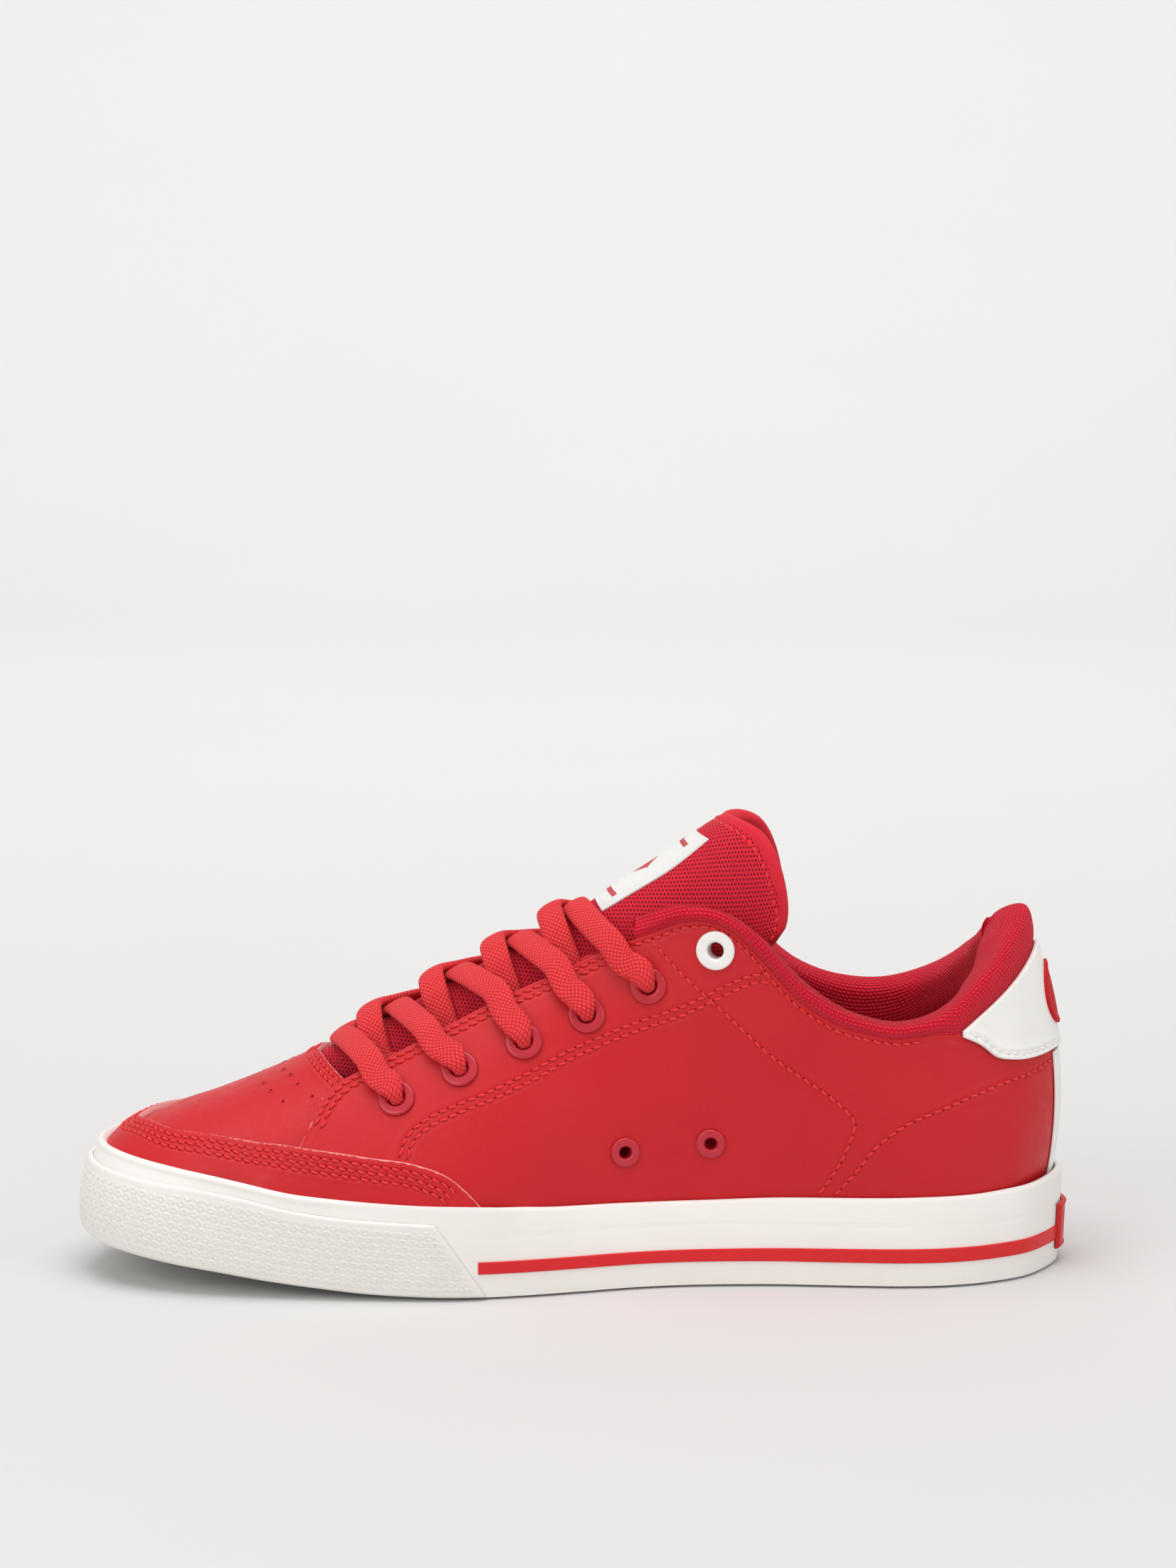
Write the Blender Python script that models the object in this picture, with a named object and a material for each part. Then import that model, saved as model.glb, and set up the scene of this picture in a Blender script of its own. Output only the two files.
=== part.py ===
"""Low-cut lace-up court shoe, right foot, built from its separate pieces.

The shoe stands on Z = 0 with its toe towards -X, its inner (medial) side
towards -Y and its heel towards +X. Lengths in this file are millimetres in
the shoe's own drawing frame, whose x starts at the toe tip. world() turns
them into metres and puts the origin under the middle of the shoe.

Every piece of the upper lies on one base surface. A point on it has two
pattern coordinates: "around", 0 at the toe and 1 at the back of the heel,
negative on the medial side, and "up", 0 at the sole and 1 at the top line.
"""
import math

import bmesh
import bpy
import numpy as np
from mathutils import Vector

# ---- driving dimensions, mm ------------------------------------------------
MM = 0.001
CENTRE_X = 150.535          # middle of the finished shoe in the drawing frame
CENTRE_Y = 1.22
GAP = 0.5                   # clearance between neighbouring layers

OUTSOLE_THICK = 5.0
MIDSOLE_TOP = 16.7          # above the ground line
LAST_RISE = 17.0            # bottom of the upper above the ground line
BOARD_THICK = 1.8
SOCKLINER_THICK = 3.4

FOXING_CLEAR = 2.15         # foxing's inner face at the toe, outside the base surface
FOXING_OUT = 5.5            # foxing's outer face, outside the base outline
FOXING_BOTTOM = 0.8         # foxing's lower edge above the ground line
BUMPER_THICK = 1.3
STRIPE_BOTTOM = 8.3
STRIPE_TOP = 12.0
STRIPE_THICK = 0.5

VAMP = (-1.4, 0.0)          # layers: inner and outer offset from the surface
MIDDLE = (-2.9, -2.0)
LINING = (-4.4, -3.5)
LEATHER = 1.2
QUARTER_RISE = 1.8          # quarter's outer face where it laps the vamp
QUARTER_FLUSH = 0.0         # and where it doesn't
OVERLAY_THICK = 1.0

EYELET_FLANGE = 6.0         # radii
EYELET_BARREL = 3.1
EYELET_BORE = 2.5
EYELET_HOLE = 3.7
VENT_FLANGE = 4.5
VENT_BARREL = 2.4
VENT_BORE = 1.8
VENT_HOLE = 3.0

TONGUE_THICK = 5.0
TONGUE_SKIN = 0.9
TONGUE_HINGE = 0.716        # where the tongue starts to flex, along its length

LACE_WIDTH = 8.0
LACE_THICK = 2.6
LACE_ROUND = 3.4            # diameter where it is squeezed through an eyelet
AGLET_LENGTH = 22.0
AGLET_RADIUS = 1.9

# Height of the ground line above Z = 0: the toe springs up.
GROUND = ((0, 12.5), (15, 10.8), (30, 8.6), (45, 6.6), (60, 4.4), (75, 2.6),
          (90, 1.1), (105, 0.35), (120, 0.03), (130, 0), (140, 0), (305, 0))
# Height of the foxing's top edge.
FOXING_TOP = ((0, 38.2), (14, 37.7), (27, 36.4), (40, 34.8), (53, 32.8), (66, 30.6),
              (79, 29.4), (98, 28.2), (123, 27.5), (148, 26.2), (187, 25.8),
              (212, 26.6), (250, 27.2), (283, 28.2), (305, 31.0))
# Height of the bumper's top edge.
BUMPER_TOP = ((0, 35.6), (7, 34.9), (14, 34.4), (27, 33.0), (40, 31.9), (53, 29.9), (66, 27.0),
              (79, 25.2), (98, 23.9), (123, 23.0), (150, 22.5))

# Spokes of the base surface: around, medial foot (x, y), lateral foot (x, y),
# medial top (x, y, z), lateral top (x, y, z), tilt at the top, heel belly.
SPOKES = (
    (0.00, (7.0, -9), (7.0, -9), (27, -7, 48.5), (27, -7, 48.5), 0, 0),
    (0.08, (10, -22), (9.5, 5), (30, -7, 49.6), (30, -7, 49.6), 0, 0),
    (0.16, (18, -32), (17, 17), (36, -6.5, 51.8), (36, -6.5, 51.8), 0, 0),
    (0.24, (33, -39.5), (31, 28), (45, -6, 54.8), (45, -6, 54.8), 0, 0),
    (0.32, (52, -43.5), (50, 38.5), (58, -5.5, 60), (58, -5.5, 60), 0, 0),
    (0.40, (74, -46), (73, 46.5), (74, -5, 67.2), (74, -5, 67.2), 0, 0),
    (0.48, (97, -47.5), (97, 50), (93, -4, 75.5), (93, -4, 75.5), 0, 0),
    (0.54, (115, -47.5), (116, 49.5), (112, -3.5, 85), (112, -3.5, 85), 0, 0),
    (0.60, (133, -44.5), (134, 46.5), (132, -5, 96), (132, -1, 96), 4, 0),
    (0.66, (151, -39.5), (152, 43), (151, -11, 107), (151, 7, 106), 16, 0),
    (0.71, (168, -34.5), (168, 39.5), (168, -21, 112), (168, 18, 110), 34, 0),
    (0.75, (182, -32), (182, 37), (182, -27, 113.8), (182, 25, 111.5), 52, 0),
    (0.79, (197, -31), (197, 35.5), (195, -31, 112.5), (195, 30, 108.5), 64, 0),
    (0.83, (212, -31), (212, 35), (207, -34, 104.5), (207, 33, 97), 70, 0),
    (0.865, (225, -32), (225, 35), (220, -35.5, 91), (220, 34.8, 86), 74, 0),
    (0.895, (238, -33), (238, 35), (234, -36, 82.5), (234, 35, 81), 76, 0),
    (0.92, (250, -33.5), (250, 34.5), (249, -35, 79.5), (249, 34, 81), 76, 0),
    (0.94, (261, -32.5), (261, 33), (262, -31.5, 83), (262, 31, 85.5), 74, 0.5),
    (0.96, (273, -28.5), (273, 28.5), (273, -24.5, 92), (273, 24.5, 93.5), 70, 2.0),
    (0.98, (285, -19.5), (285, 18.5), (282, -14, 102), (282, 14, 102.5), 66, 4.0),
    (1.00, (293.4, 0), (293.4, 0), (287.5, 0, 109.5), (287.5, 0, 109.5), 62, 6.5),
)

# Pattern lines as (around, up) points, the same on both sides.
THROAT = ((0.60, 0.0), (0.54, 0.2), (0.48, 0.42), (0.432, 0.64), (0.409, 0.8), (0.392, 1.0))
QUARTER_FRONT = ((0.33, 0.0), (0.36, 0.2), (0.384, 0.385), (0.396, 0.48), (0.402, 0.53),
                 (0.432, 0.63), (0.444, 0.642))
EYESTAY_EDGE = ((0.444, 0.642), (0.516, 0.685), (0.581, 0.715), (0.649, 0.748), (0.704, 0.855))
COLLAR_EDGE = ((0.704, 0.855), (0.729, 0.905), (0.748, 0.945), (0.772, 0.963),
               (0.796, 0.96), (0.818, 0.945), (0.837, 0.925), (0.86, 0.922),
               (0.884, 0.93), (0.911, 0.943), (0.938, 0.912), (0.946, 0.868))
TAB_EDGE = ((0.946, 0.868), (0.958, 0.865), (0.972, 0.855), (0.987, 0.858), (1.0, 0.875))
TAB_LOWER = ((0.946, 0.860), (0.957, 0.74), (0.964, 0.65), (0.973, 0.583), (0.985, 0.532),
             (1.0, 0.50))
MUDGUARD_EDGE = ((0.0, 0.75), (0.113, 0.69), (0.2, 0.555), (0.252, 0.505), (0.325, 0.417),
                 (0.381, 0.352), (0.451, 0.292), (0.507, 0.238), (0.535, 0.188),
                 (0.553, 0.135), (0.566, 0.09))
EYELETS = ((0.487, 0.482), (0.547, 0.512), (0.607, 0.53), (0.667, 0.575), (0.722, 0.698),
           (0.782, 0.873))
VENTS = ((0.702, 0.195), (0.775, 0.23))

# Collar thickness: (around, mm).
COLLAR_THICK = ((0.69, 5.0), (0.75, 5.5), (0.80, 7.0), (0.86, 8.5), (0.92, 10.5),
                (0.96, 13), (1.0, 15))

# Tongue stations: along, middle (x, z), side edge (x, y, z) with y outwards.
TONGUE = (
    (0.00, (60, 58.0), (64, 13, 45)),
    (0.12, (76, 66.0), (83, 15.5, 52)),
    (0.25, (95, 76.0), (104, 16.5, 58.5)),
    (0.40, (115, 87.5), (127, 17, 66)),
    (0.55, (135, 98.5), (149, 17, 73.5)),
    (0.68, (151, 108), (168, 17.5, 81)),
    (0.78, (164, 116.5), (190, 19.5, 91)),
    (0.90, (180, 127), (212, 22.5, 103.5)),
    (1.00, (197, 139.5), (223, 25.5, 121.5)),
)
TONGUE_WEDGE = 0.02         # base's edges stop this much lower, for bending back
LABEL_SPAN = (0.726, 0.948)
LABEL_HALF = 0.30
EMBLEM_UP = 0.69
EMBLEM_SIZE = (0.009, 0.115)
COLLAR_SKIN = 1.0

# Lace: where its strands cross the tongue's middle, lowest first; how far along
# from there and how high a crossing's points lie; loose end as (around, up,
# depth inside, width).
CROSSINGS = (0.150, 0.222, 0.3625, 0.502, 0.640)
LACE_LOW = 2.2
LACE_LEAN = (0.024, 0.026, 0.022, 0.025, 0.030)
CROSS_ACROSS = (0.5, 0.24, 0.0)     # b of a crossing, from its start to the middle
CROSS_OVER = ((-0.018, 2.6), (-0.010, 4.6), (-0.004, 5.4))
CROSS_UNDER = ((-0.018, 2.2), (0.014, 2.2), (0.042, 2.2))
STRAND_SPLITS = (0.36, 0.70)        # of the taut run from the middle to the eyestay
STRAND_RISE = {-1: 1.6, 1: 0.8}      # by the side the run goes to
TAIL = ((0.717, 0.65, 9.0, 0.4), (0.700, 0.50, 9.0, 1.0), (0.680, 0.36, 9.5, 1.0),
        (0.650, 0.27, 10.0, 1.0), (0.61, 0.22, 10.5, 1.0), (0.57, 0.205, 10.5, 1.0),
        (0.54, 0.205, 10.5, 0.8), (0.52, 0.21, 10.5, 0.2))

TONGUE_Y = -1.1             # its middle line
TONGUE_ARC = math.radians(75)
CORNER = (0.89, 0.48)       # along and across where its top corners start to round
TONGUE_CROWN = 2.4          # how far its top edge stands up beside the middle


# ---- curves and the base surface -------------------------------------------
def smooth(knots, values, at):
    """Cubic curve through values at knots, read at the places in `at`."""
    k = np.asarray(knots, float)
    v = np.asarray(values, float).reshape(len(k), -1)
    h = np.diff(k)
    slope = np.diff(v, axis=0) / h[:, None]
    m = np.empty_like(v)
    m[1:-1] = (slope[:-1] * h[1:, None] + slope[1:] * h[:-1, None]) / (h[:-1] + h[1:])[:, None]
    m[0] = slope[0]
    m[-1] = slope[-1]
    at = np.clip(np.asarray(at, float), k[0], k[-1])
    i = np.clip(np.searchsorted(k, at, side="right") - 1, 0, len(k) - 2)
    step = h[i][..., None]
    t = ((at - k[i]) / h[i])[..., None]
    a = (2 * t**3 - 3 * t**2 + 1) * v[i] + (t**3 - 2 * t**2 + t) * step * m[i]
    b = (3 * t**2 - 2 * t**3) * v[i + 1] + (t**3 - t**2) * step * m[i + 1]
    return a + b


def read(table, at):
    """One value of a two-column table of hand-set points."""
    t = np.asarray(table, float)
    return smooth(t[:, 0], t[:, 1], at)[..., 0]


def ease(low, high, x):
    """0 below low, 1 above high, smooth between."""
    t = np.clip((np.asarray(x, float) - low) / (high - low), 0, 1)
    return t * t * (3 - 2 * t)


def ground(x):
    return np.maximum(read(GROUND, x), 0)


def spoke_table():
    medial = [(-s, *m, *tm, tilt, belly) for s, m, _, tm, _, tilt, belly in SPOKES]
    lateral = [(s, *l, *tl, tilt, belly) for s, _, l, _, tl, tilt, belly in SPOKES]
    table = np.array(medial[::-1] + lateral[1:], float)
    before = table[-4:-1].copy()
    after = table[1:4].copy()
    before[:, 0] -= 2
    after[:, 0] += 2
    return np.vstack([before, table, after])


SPOKE_TABLE = spoke_table()


def spokes(s):
    """Foot, top, tilt, belly, outward plan normal and ridge slope at s."""
    def at(place):
        return smooth(SPOKE_TABLE[:, 0], SPOKE_TABLE[:, 1:], place)
    step = 1e-3
    v = at(s)
    run = at(s + step) - at(s - step)
    foot = np.stack([v[..., 0], v[..., 1], ground(v[..., 0]) + LAST_RISE], -1)
    out = np.stack([-run[..., 1], run[..., 0]], -1)
    out /= np.linalg.norm(out, axis=-1, keepdims=True)
    dx = np.where(np.abs(run[..., 2]) < 1e-5, 1.0, run[..., 2])
    slope = np.where(np.abs(run[..., 2]) < 1e-5, 0.36, run[..., 4] / dx)
    slope = np.clip(slope, 0, 0.8) * np.clip((0.62 - np.abs(s)) / 0.1, 0, 1)
    return foot, v[..., 2:5], np.radians(np.clip(v[..., 5], 0, 90)), v[..., 6], out, slope


def bare(s, t):
    """The base surface itself: each spoke is a cubic from its foot to its top."""
    s, t = np.broadcast_arrays(np.asarray(s, float), np.asarray(t, float))
    foot, top, tilt, belly, out, slope = spokes(s)
    reach_in = foot[..., :2] + 12 * out - top[..., :2]
    width = np.linalg.norm(reach_in, axis=-1)
    heading = reach_in / width[..., None]
    width = np.maximum(width - 12, 7)
    height = top[..., 2] - foot[..., 2]
    low = foot.copy()
    low[..., 2] += height * (0.50 - 0.08 * np.sin(tilt))
    low[..., :2] += out * (2.0 + 2.5 * np.sin(tilt) + belly)[..., None]
    high = top.copy()
    reach = np.cos(tilt) * 0.56 * width
    high[..., :2] += heading * reach[..., None] + out * (0.9 * belly)[..., None]
    high[..., 2] += reach * heading[..., 0] * slope - np.sin(tilt) * 0.36 * height
    t = t[..., None]
    u = 1 - t
    return u**3 * foot + 3 * u * u * t * low + 3 * u * t * t * high + t**3 * top


def one_normal(s, t):
    step = 2e-3
    t = np.where(np.abs(s) < 0.06, np.minimum(t, 0.96), t)
    t_low = np.maximum(t - step, 0)
    t_high = np.minimum(t + step, 1)
    n = np.cross(bare(s, t_high) - bare(s, t_low), bare(s + step, t) - bare(s - step, t))
    return n / np.maximum(np.linalg.norm(n, axis=-1, keepdims=True), 1e-9)


def normal(s, t):
    """Outward normal; over the ridge both sides share one."""
    s, t = np.broadcast_arrays(np.asarray(s, float), np.asarray(t, float))
    n = one_normal(s, t)
    shared = n + one_normal(-s, t)
    shared /= np.maximum(np.linalg.norm(shared, axis=-1, keepdims=True), 1e-9)
    ridge = ((t > 0.995) & (np.abs(s) < 0.5))[..., None]
    return np.where(ridge, shared, n)


def skin(s, t, offset=0.0):
    """Point on the base surface, moved out by offset."""
    return bare(s, t) + normal(s, t) * np.asarray(offset, float)[..., None]


def even_run(start, end, count, crowd=0.0):
    """Around values from start to end at even distances along the surface.

    A value over 1 carries on round the heel to the medial side. crowd draws
    them together around the toe and the heel of a full turn.
    """
    fine = np.linspace(start, end, 1200)
    s = np.where(fine > 1, fine - 2, fine)
    path = bare(s, np.full_like(s, 0.3))
    run = np.concatenate([[0], np.cumsum(np.linalg.norm(np.diff(path, axis=0), axis=1))])
    share = np.linspace(-1, 1, count)
    share = (share - crowd * np.sin(2 * math.pi * share) / (2 * math.pi) + 1) / 2
    even = np.interp(share * run[-1], run, fine)
    return np.where(even > 1, even - 2, even)


def toeward(cols):
    """Steps from -1 to 1 that crowd together around the toe."""
    run = np.linspace(-1, 1, cols)
    return np.sign(run) * np.abs(run) ** 1.35


SOLE_STATIONS = even_run(-1, 1, 67, crowd=0.45)[:-1]


def quarter_face(s):
    """Outer offset of the quarter: proud over the vamp, flush behind it."""
    return QUARTER_FLUSH + (QUARTER_RISE - QUARTER_FLUSH) * ease(-0.68, -0.60, -np.abs(s))


def mudguard_base(s, t):
    """Inner offset of the mudguard: over the vamp, then over the quarter."""
    ahead = np.abs(s) - line_at(QUARTER_FRONT, t, by_up=True)
    toe = 0.25 * (1 - ease(0.22, 0.30, np.abs(s)))
    return GAP + toe + QUARTER_RISE * ease(-0.055, -0.012, ahead)


def line_at(points, place, by_up=False):
    """A pattern line read by its around, or by its up, coordinate."""
    p = np.asarray(points, float)
    if by_up:
        p = p[:, ::-1]
    return smooth(p[:, 0], p[:, 1], place)[..., 0]


def top_line(s):
    """Upper edge of the quarter leather: eyestay, collar and heel tab."""
    return line_at(EYESTAY_EDGE + COLLAR_EDGE[1:] + TAB_EDGE[1:], np.abs(s))


# ---- mesh building -----------------------------------------------------------
def world(points):
    """Drawing frame in mm to world metres."""
    p = np.asarray(points, float) - np.array([CENTRE_X, CENTRE_Y, 0.0])
    return p * MM


def material(name, colour, rough, metallic=0.0):
    mat = bpy.data.materials.new(name)
    mat.use_nodes = True
    shader = mat.node_tree.nodes["Principled BSDF"]
    shader.inputs["Base Color"].default_value = (*colour, 1.0)
    shader.inputs["Roughness"].default_value = rough
    shader.inputs["Metallic"].default_value = metallic
    mat.diffuse_color = (*colour, 1.0)
    return mat


def add_object(name, verts, faces, mat, weld=1e-7):
    """A closed piece from drawing-frame points, its faces turned outwards."""
    mesh = bpy.data.meshes.new(name)
    mesh.from_pydata([tuple(v) for v in world(verts)], [], [list(map(int, f)) for f in faces])
    bm = bmesh.new()
    bm.from_mesh(mesh)
    bmesh.ops.remove_doubles(bm, verts=bm.verts, dist=weld)
    bmesh.ops.dissolve_degenerate(bm, edges=bm.edges, dist=weld)
    bmesh.ops.triangulate(bm, faces=bm.faces)
    bmesh.ops.recalc_face_normals(bm, faces=bm.faces)
    if bm.calc_volume(signed=True) < 0:
        bmesh.ops.reverse_faces(bm, faces=bm.faces)
    bm.to_mesh(mesh)
    bm.free()
    mesh.materials.append(mat)
    mesh.shade_smooth()
    mesh.set_sharp_from_angle(angle=math.radians(40))
    obj = bpy.data.objects.new(name, mesh)
    bpy.context.scene.collection.objects.link(obj)
    return obj


def shell(name, outer, inner, mat, wrap=False, ridge=False, weld=1e-7):
    """Closes two grids of points, one outside the other, into one solid.

    wrap joins the last column to the first. ridge leaves the last row open,
    because its two halves meet there and are welded.
    """
    cols, rows = outer.shape[:2]
    verts = np.concatenate([outer.reshape(-1, 3), inner.reshape(-1, 3)])
    base = cols * rows
    faces = []

    def at(i, j):
        return (i % cols) * rows + j
    spans = cols if wrap else cols - 1
    for i in range(spans):
        for j in range(rows - 1):
            quad = [at(i, j), at(i + 1, j), at(i + 1, j + 1), at(i, j + 1)]
            faces.append(quad)
            faces.append([base + q for q in reversed(quad)])
        faces.append([at(i + 1, 0), at(i, 0), base + at(i, 0), base + at(i + 1, 0)])
        if not ridge:
            top = rows - 1
            faces.append([at(i, top), at(i + 1, top), base + at(i + 1, top), base + at(i, top)])
    if not wrap:
        for i, turn in ((0, 1), (cols - 1, -1)):
            for j in range(rows - 1):
                faces.append([at(i, j), at(i, j + 1), base + at(i, j + 1), base + at(i, j)][::turn])
    return add_object(name, verts, faces, mat, weld)


def panel(name, s, t, low, high, mat, **how):
    """A shell of the upper between two offsets over a grid of (around, up)."""
    return shell(name, skin(s, t, high), skin(s, t, low), mat, **how)


def loft(name, rings, mat, closed=True):
    """A solid through rings of points; open lofts get flat ends."""
    rings = np.asarray(rings, float)
    count, sides = rings.shape[:2]
    verts = rings.reshape(-1, 3)
    faces = []
    for i in range(count if closed else count - 1):
        for j in range(sides):
            a = (i % count) * sides
            b = ((i + 1) % count) * sides
            k = (j + 1) % sides
            faces.append([a + j, b + j, b + k, a + k])
    if not closed:
        faces.append(list(range(sides))[::-1])
        faces.append([(count - 1) * sides + j for j in range(sides)])
    return add_object(name, verts, faces, mat)


def outline(distance):
    """Plan of the sole: the base outline moved out by distance."""
    foot, _, _, _, out, _ = spokes(SOLE_STATIONS)
    return foot[:, :2] + out * distance


def slab(name, distance, low, high, mat):
    """A flat layer of the sole that follows the ground line."""
    count = len(SOLE_STATIONS)
    plan = outline(distance)
    lift = ground(plan[:, 0])
    bottom = np.column_stack([plan, lift + low])
    top = np.column_stack([plan, lift + high])
    verts = np.concatenate([bottom, top])
    faces = [[i, (i + 1) % count, count + (i + 1) % count, count + i] for i in range(count)]
    for i in range(count // 2):
        ends = dict.fromkeys((i, i + 1, count - i - 1, (count - i) % count))
        faces.append(list(ends)[::-1])
        faces.append([count + k for k in ends])
    return add_object(name, verts, faces, mat)


# ---- sole unit ---------------------------------------------------------------
def foxing_up(s):
    """Up coordinate where the foxing's top edge crosses the surface at s."""
    low, high = np.zeros_like(s), np.full_like(s, 0.7)
    for _ in range(30):
        mid = (low + high) / 2
        p = bare(s, mid)
        under = p[..., 2] < read(FOXING_TOP, p[..., 0])
        low = np.where(under, mid, low)
        high = np.where(under, high, mid)
    return low


def foxing_clear(s):
    """Foxing's inner face outside the base surface: it clears what lies under it."""
    s = np.abs(s)
    overlays = 1.9 * ease(0.24, 0.32, s) - 1.6 * ease(0.575, 0.61, s)
    return FOXING_CLEAR + overlays - 1.55 * ease(0.62, 0.69, s) + 1.3 * ease(0.968, 0.985, s)


def wall(s, z_share, extra=0.0):
    """Outer face of the foxing at s: z_share 0 at its lower edge, 1 at its top."""
    foot, _, _, _, out, _ = spokes(s)
    toe = 1 - ease(0.15, 0.32, np.abs(s))
    top = skin(s, foxing_up(s), foxing_clear(s) + 1.5 + 0.6 * toe)
    floor = ground(foot[..., 0]) + FOXING_BOTTOM
    low = np.concatenate([foot[..., :2] + out * FOXING_OUT, floor[..., None]], -1)
    height = top[..., 2] - floor
    swell = low.copy()
    swell[..., :2] += out * (0.9 + 0.9 * toe)[..., None]
    swell[..., 2] += 0.55 * height
    z_share = np.asarray(z_share, float)[..., None]
    u = 1 - z_share
    p = u * u * low + 2 * u * z_share * swell + z_share**2 * top
    p[..., :2] += out * np.asarray(extra, float)[..., None]
    return p


def wall_at_height(s, height, extra=0.0):
    """Outer face of the foxing at a height above the ground line."""
    low, high = np.zeros_like(s), np.ones_like(s)
    for _ in range(24):
        mid = (low + high) / 2
        p = wall(s, mid)
        under = p[..., 2] - ground(p[..., 0]) < height
        low = np.where(under, mid, low)
        high = np.where(under, high, mid)
    return wall(s, low, extra)


def build_foxing(mat):
    """A tape around the whole sole, stepped inside to seat the upper."""
    s = SOLE_STATIONS
    foot, _, _, _, out, _ = spokes(s)
    up = foxing_up(s)
    floor = ground(foot[:, 0])

    def inside(distance, height):
        return np.column_stack([foot[:, :2] + out * distance, floor + height])
    tuck = wall(s, 0.0)
    tuck[:, :2] -= out * 0.9
    rings = [skin(s, up, foxing_clear(s)), skin(s, up, foxing_clear(s) + 1.3),
             wall(s, np.full_like(s, 0.8)), wall(s, np.full_like(s, 0.42)),
             wall(s, np.full_like(s, 0.08)), tuck,
             inside(1.6, FOXING_BOTTOM), inside(1.6, MIDSOLE_TOP),
             inside(np.maximum(foxing_clear(s), 2.0)[:, None], MIDSOLE_TOP),
             skin(s, up * 0.36, foxing_clear(s)), skin(s, up * 0.72, foxing_clear(s))]
    return loft("foxing_band", np.stack(rings, 1), mat)


def build_bumper(mat):
    """Textured rubber cap over the front of the foxing, raked at its ends."""
    share = np.linspace(0, 1, 5)
    end = 0.567 - 0.047 * share
    end[-1] -= 0.012
    s = toeward(33)[:, None] * end[None, :]
    floor = ground(spokes(s)[0][..., 0])
    top = read(BUMPER_TOP, spokes(s)[0][..., 0])
    height = 1.2 + (top - floor - 1.2) * share
    low = np.empty(s.shape + (3,))
    high = np.empty(s.shape + (3,))
    for j in range(len(share)):
        low[:, j] = wall_at_height(s[:, j], height[:, j], GAP + 0.6 * share[j])
        high[:, j] = wall_at_height(s[:, j], height[:, j], GAP + BUMPER_THICK)
    return shell("toe_bumper", high, low, mat)


def build_stripe(mat):
    """Narrow coloured tape from one end of the bumper round the heel to the other."""
    s = np.concatenate([SOLE_STATIONS[SOLE_STATIONS > 0.57], SOLE_STATIONS[SOLE_STATIONS < -0.57]])
    s = s[:, None] + np.zeros((1, 2))
    height = np.array([STRIPE_BOTTOM, STRIPE_TOP])[None, :] + np.zeros_like(s)
    flat = wall_at_height(s, height, 0.3)
    proud = wall_at_height(s, height, 0.3 + STRIPE_THICK)
    return shell("foxing_stripe", proud, flat, mat)


def build_heel_patch(mat):
    """Small rubber patch on the back of the foxing, over the stripe."""
    s = np.array([0.9935, 0.997, 1.0, -0.997, -0.9935])[:, None] + np.zeros((1, 3))
    height = np.array([5.0, 12.0, 19.0])[None, :] + np.zeros_like(s)
    base = 0.6 + STRIPE_THICK
    flat = wall_at_height(s, height, base)
    proud = wall_at_height(s, height, base + 0.8)
    return shell("heel_patch", proud, flat, mat)


def build_sole(mats):
    slab("outsole", 1.1, 0.0, OUTSOLE_THICK, mats["sole"])
    slab("midsole", 1.1, OUTSOLE_THICK + 0.3, MIDSOLE_TOP - 0.3, mats["foam"])
    board = LAST_RISE + 0.2
    slab("insole_board", -5.2, board, board + BOARD_THICK, mats["board"])
    liner = board + BOARD_THICK + 0.3
    slab("sockliner", -5.6, liner, liner + SOCKLINER_THICK, mats["knit"])
    build_foxing(mats["sole"])
    build_bumper(mats["bumper"])
    build_stripe(mats["stripe"])
    build_heel_patch(mats["patch"])


# ---- upper -------------------------------------------------------------------
def capped_grid(edge, cols, rows, low_up=0.0):
    """Grid over the toe whose back edge is the line `edge`, closed on the ridge."""
    t = np.linspace(low_up, 1, rows)
    reach = line_at(edge, t, by_up=True)
    run = toeward(cols)
    return run[:, None] * reach[None, :], np.broadcast_to(t, (cols, rows)).copy()


def build_vamp(mats):
    s, t = capped_grid(THROAT, 29, 8)
    panel("vamp", s, t, VAMP[0], VAMP[1], mats["leather"], ridge=True, weld=2e-5)
    back = tuple((min(a, 0.31 + 0.05 * (1 - u)), u) for a, u in THROAT)
    s, t = capped_grid(back, 19, 7, 0.02)
    panel("vamp_lining", s, t, LINING[0], LINING[1], mats["lining"], ridge=True, weld=2e-5)
    rows = 4
    s = np.linspace(-0.24, 0.24, 15)[:, None] + np.zeros((1, rows))
    t = np.linspace(0.04, 0.72, rows)[None, :] + np.zeros_like(s)
    panel("toe_puff", s, t, MIDDLE[0], MIDDLE[1], mats["board"])


def build_mudguard(mats):
    """Low overlay around the toe, its back ends swept down to the sole."""
    end = MUDGUARD_EDGE[-1][0]
    s = toeward(37) * end
    up = line_at(MUDGUARD_EDGE, np.abs(s))
    rows = np.linspace(0, 1, 5)[None, :]
    grid_s = s[:, None] + np.zeros_like(rows)
    grid_t = 0.02 + (up[:, None] - 0.02) * rows
    base = mudguard_base(grid_s, grid_t)
    panel("mudguard", grid_s, grid_t, base, base + OVERLAY_THICK, mats["leather"])


def quarter_grid(side, cols, rows):
    """Grid over a quarter: its front follows the lap over the vamp."""
    corner_s, corner_t = EYESTAY_EDGE[0]
    rise = np.linspace(0, 1, rows)[None, :]
    front_t = rise * corner_t
    front_s = line_at(QUARTER_FRONT, front_t, by_up=True)
    front_s[0, -1] = corner_s
    last = 0.9985
    top_s = even_run(corner_s, last, cols)[:, None]
    run = (top_s - corner_s) / (last - corner_s)
    s = front_s + (last - front_s) * run
    return side * s, rise * top_line(top_s)


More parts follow.
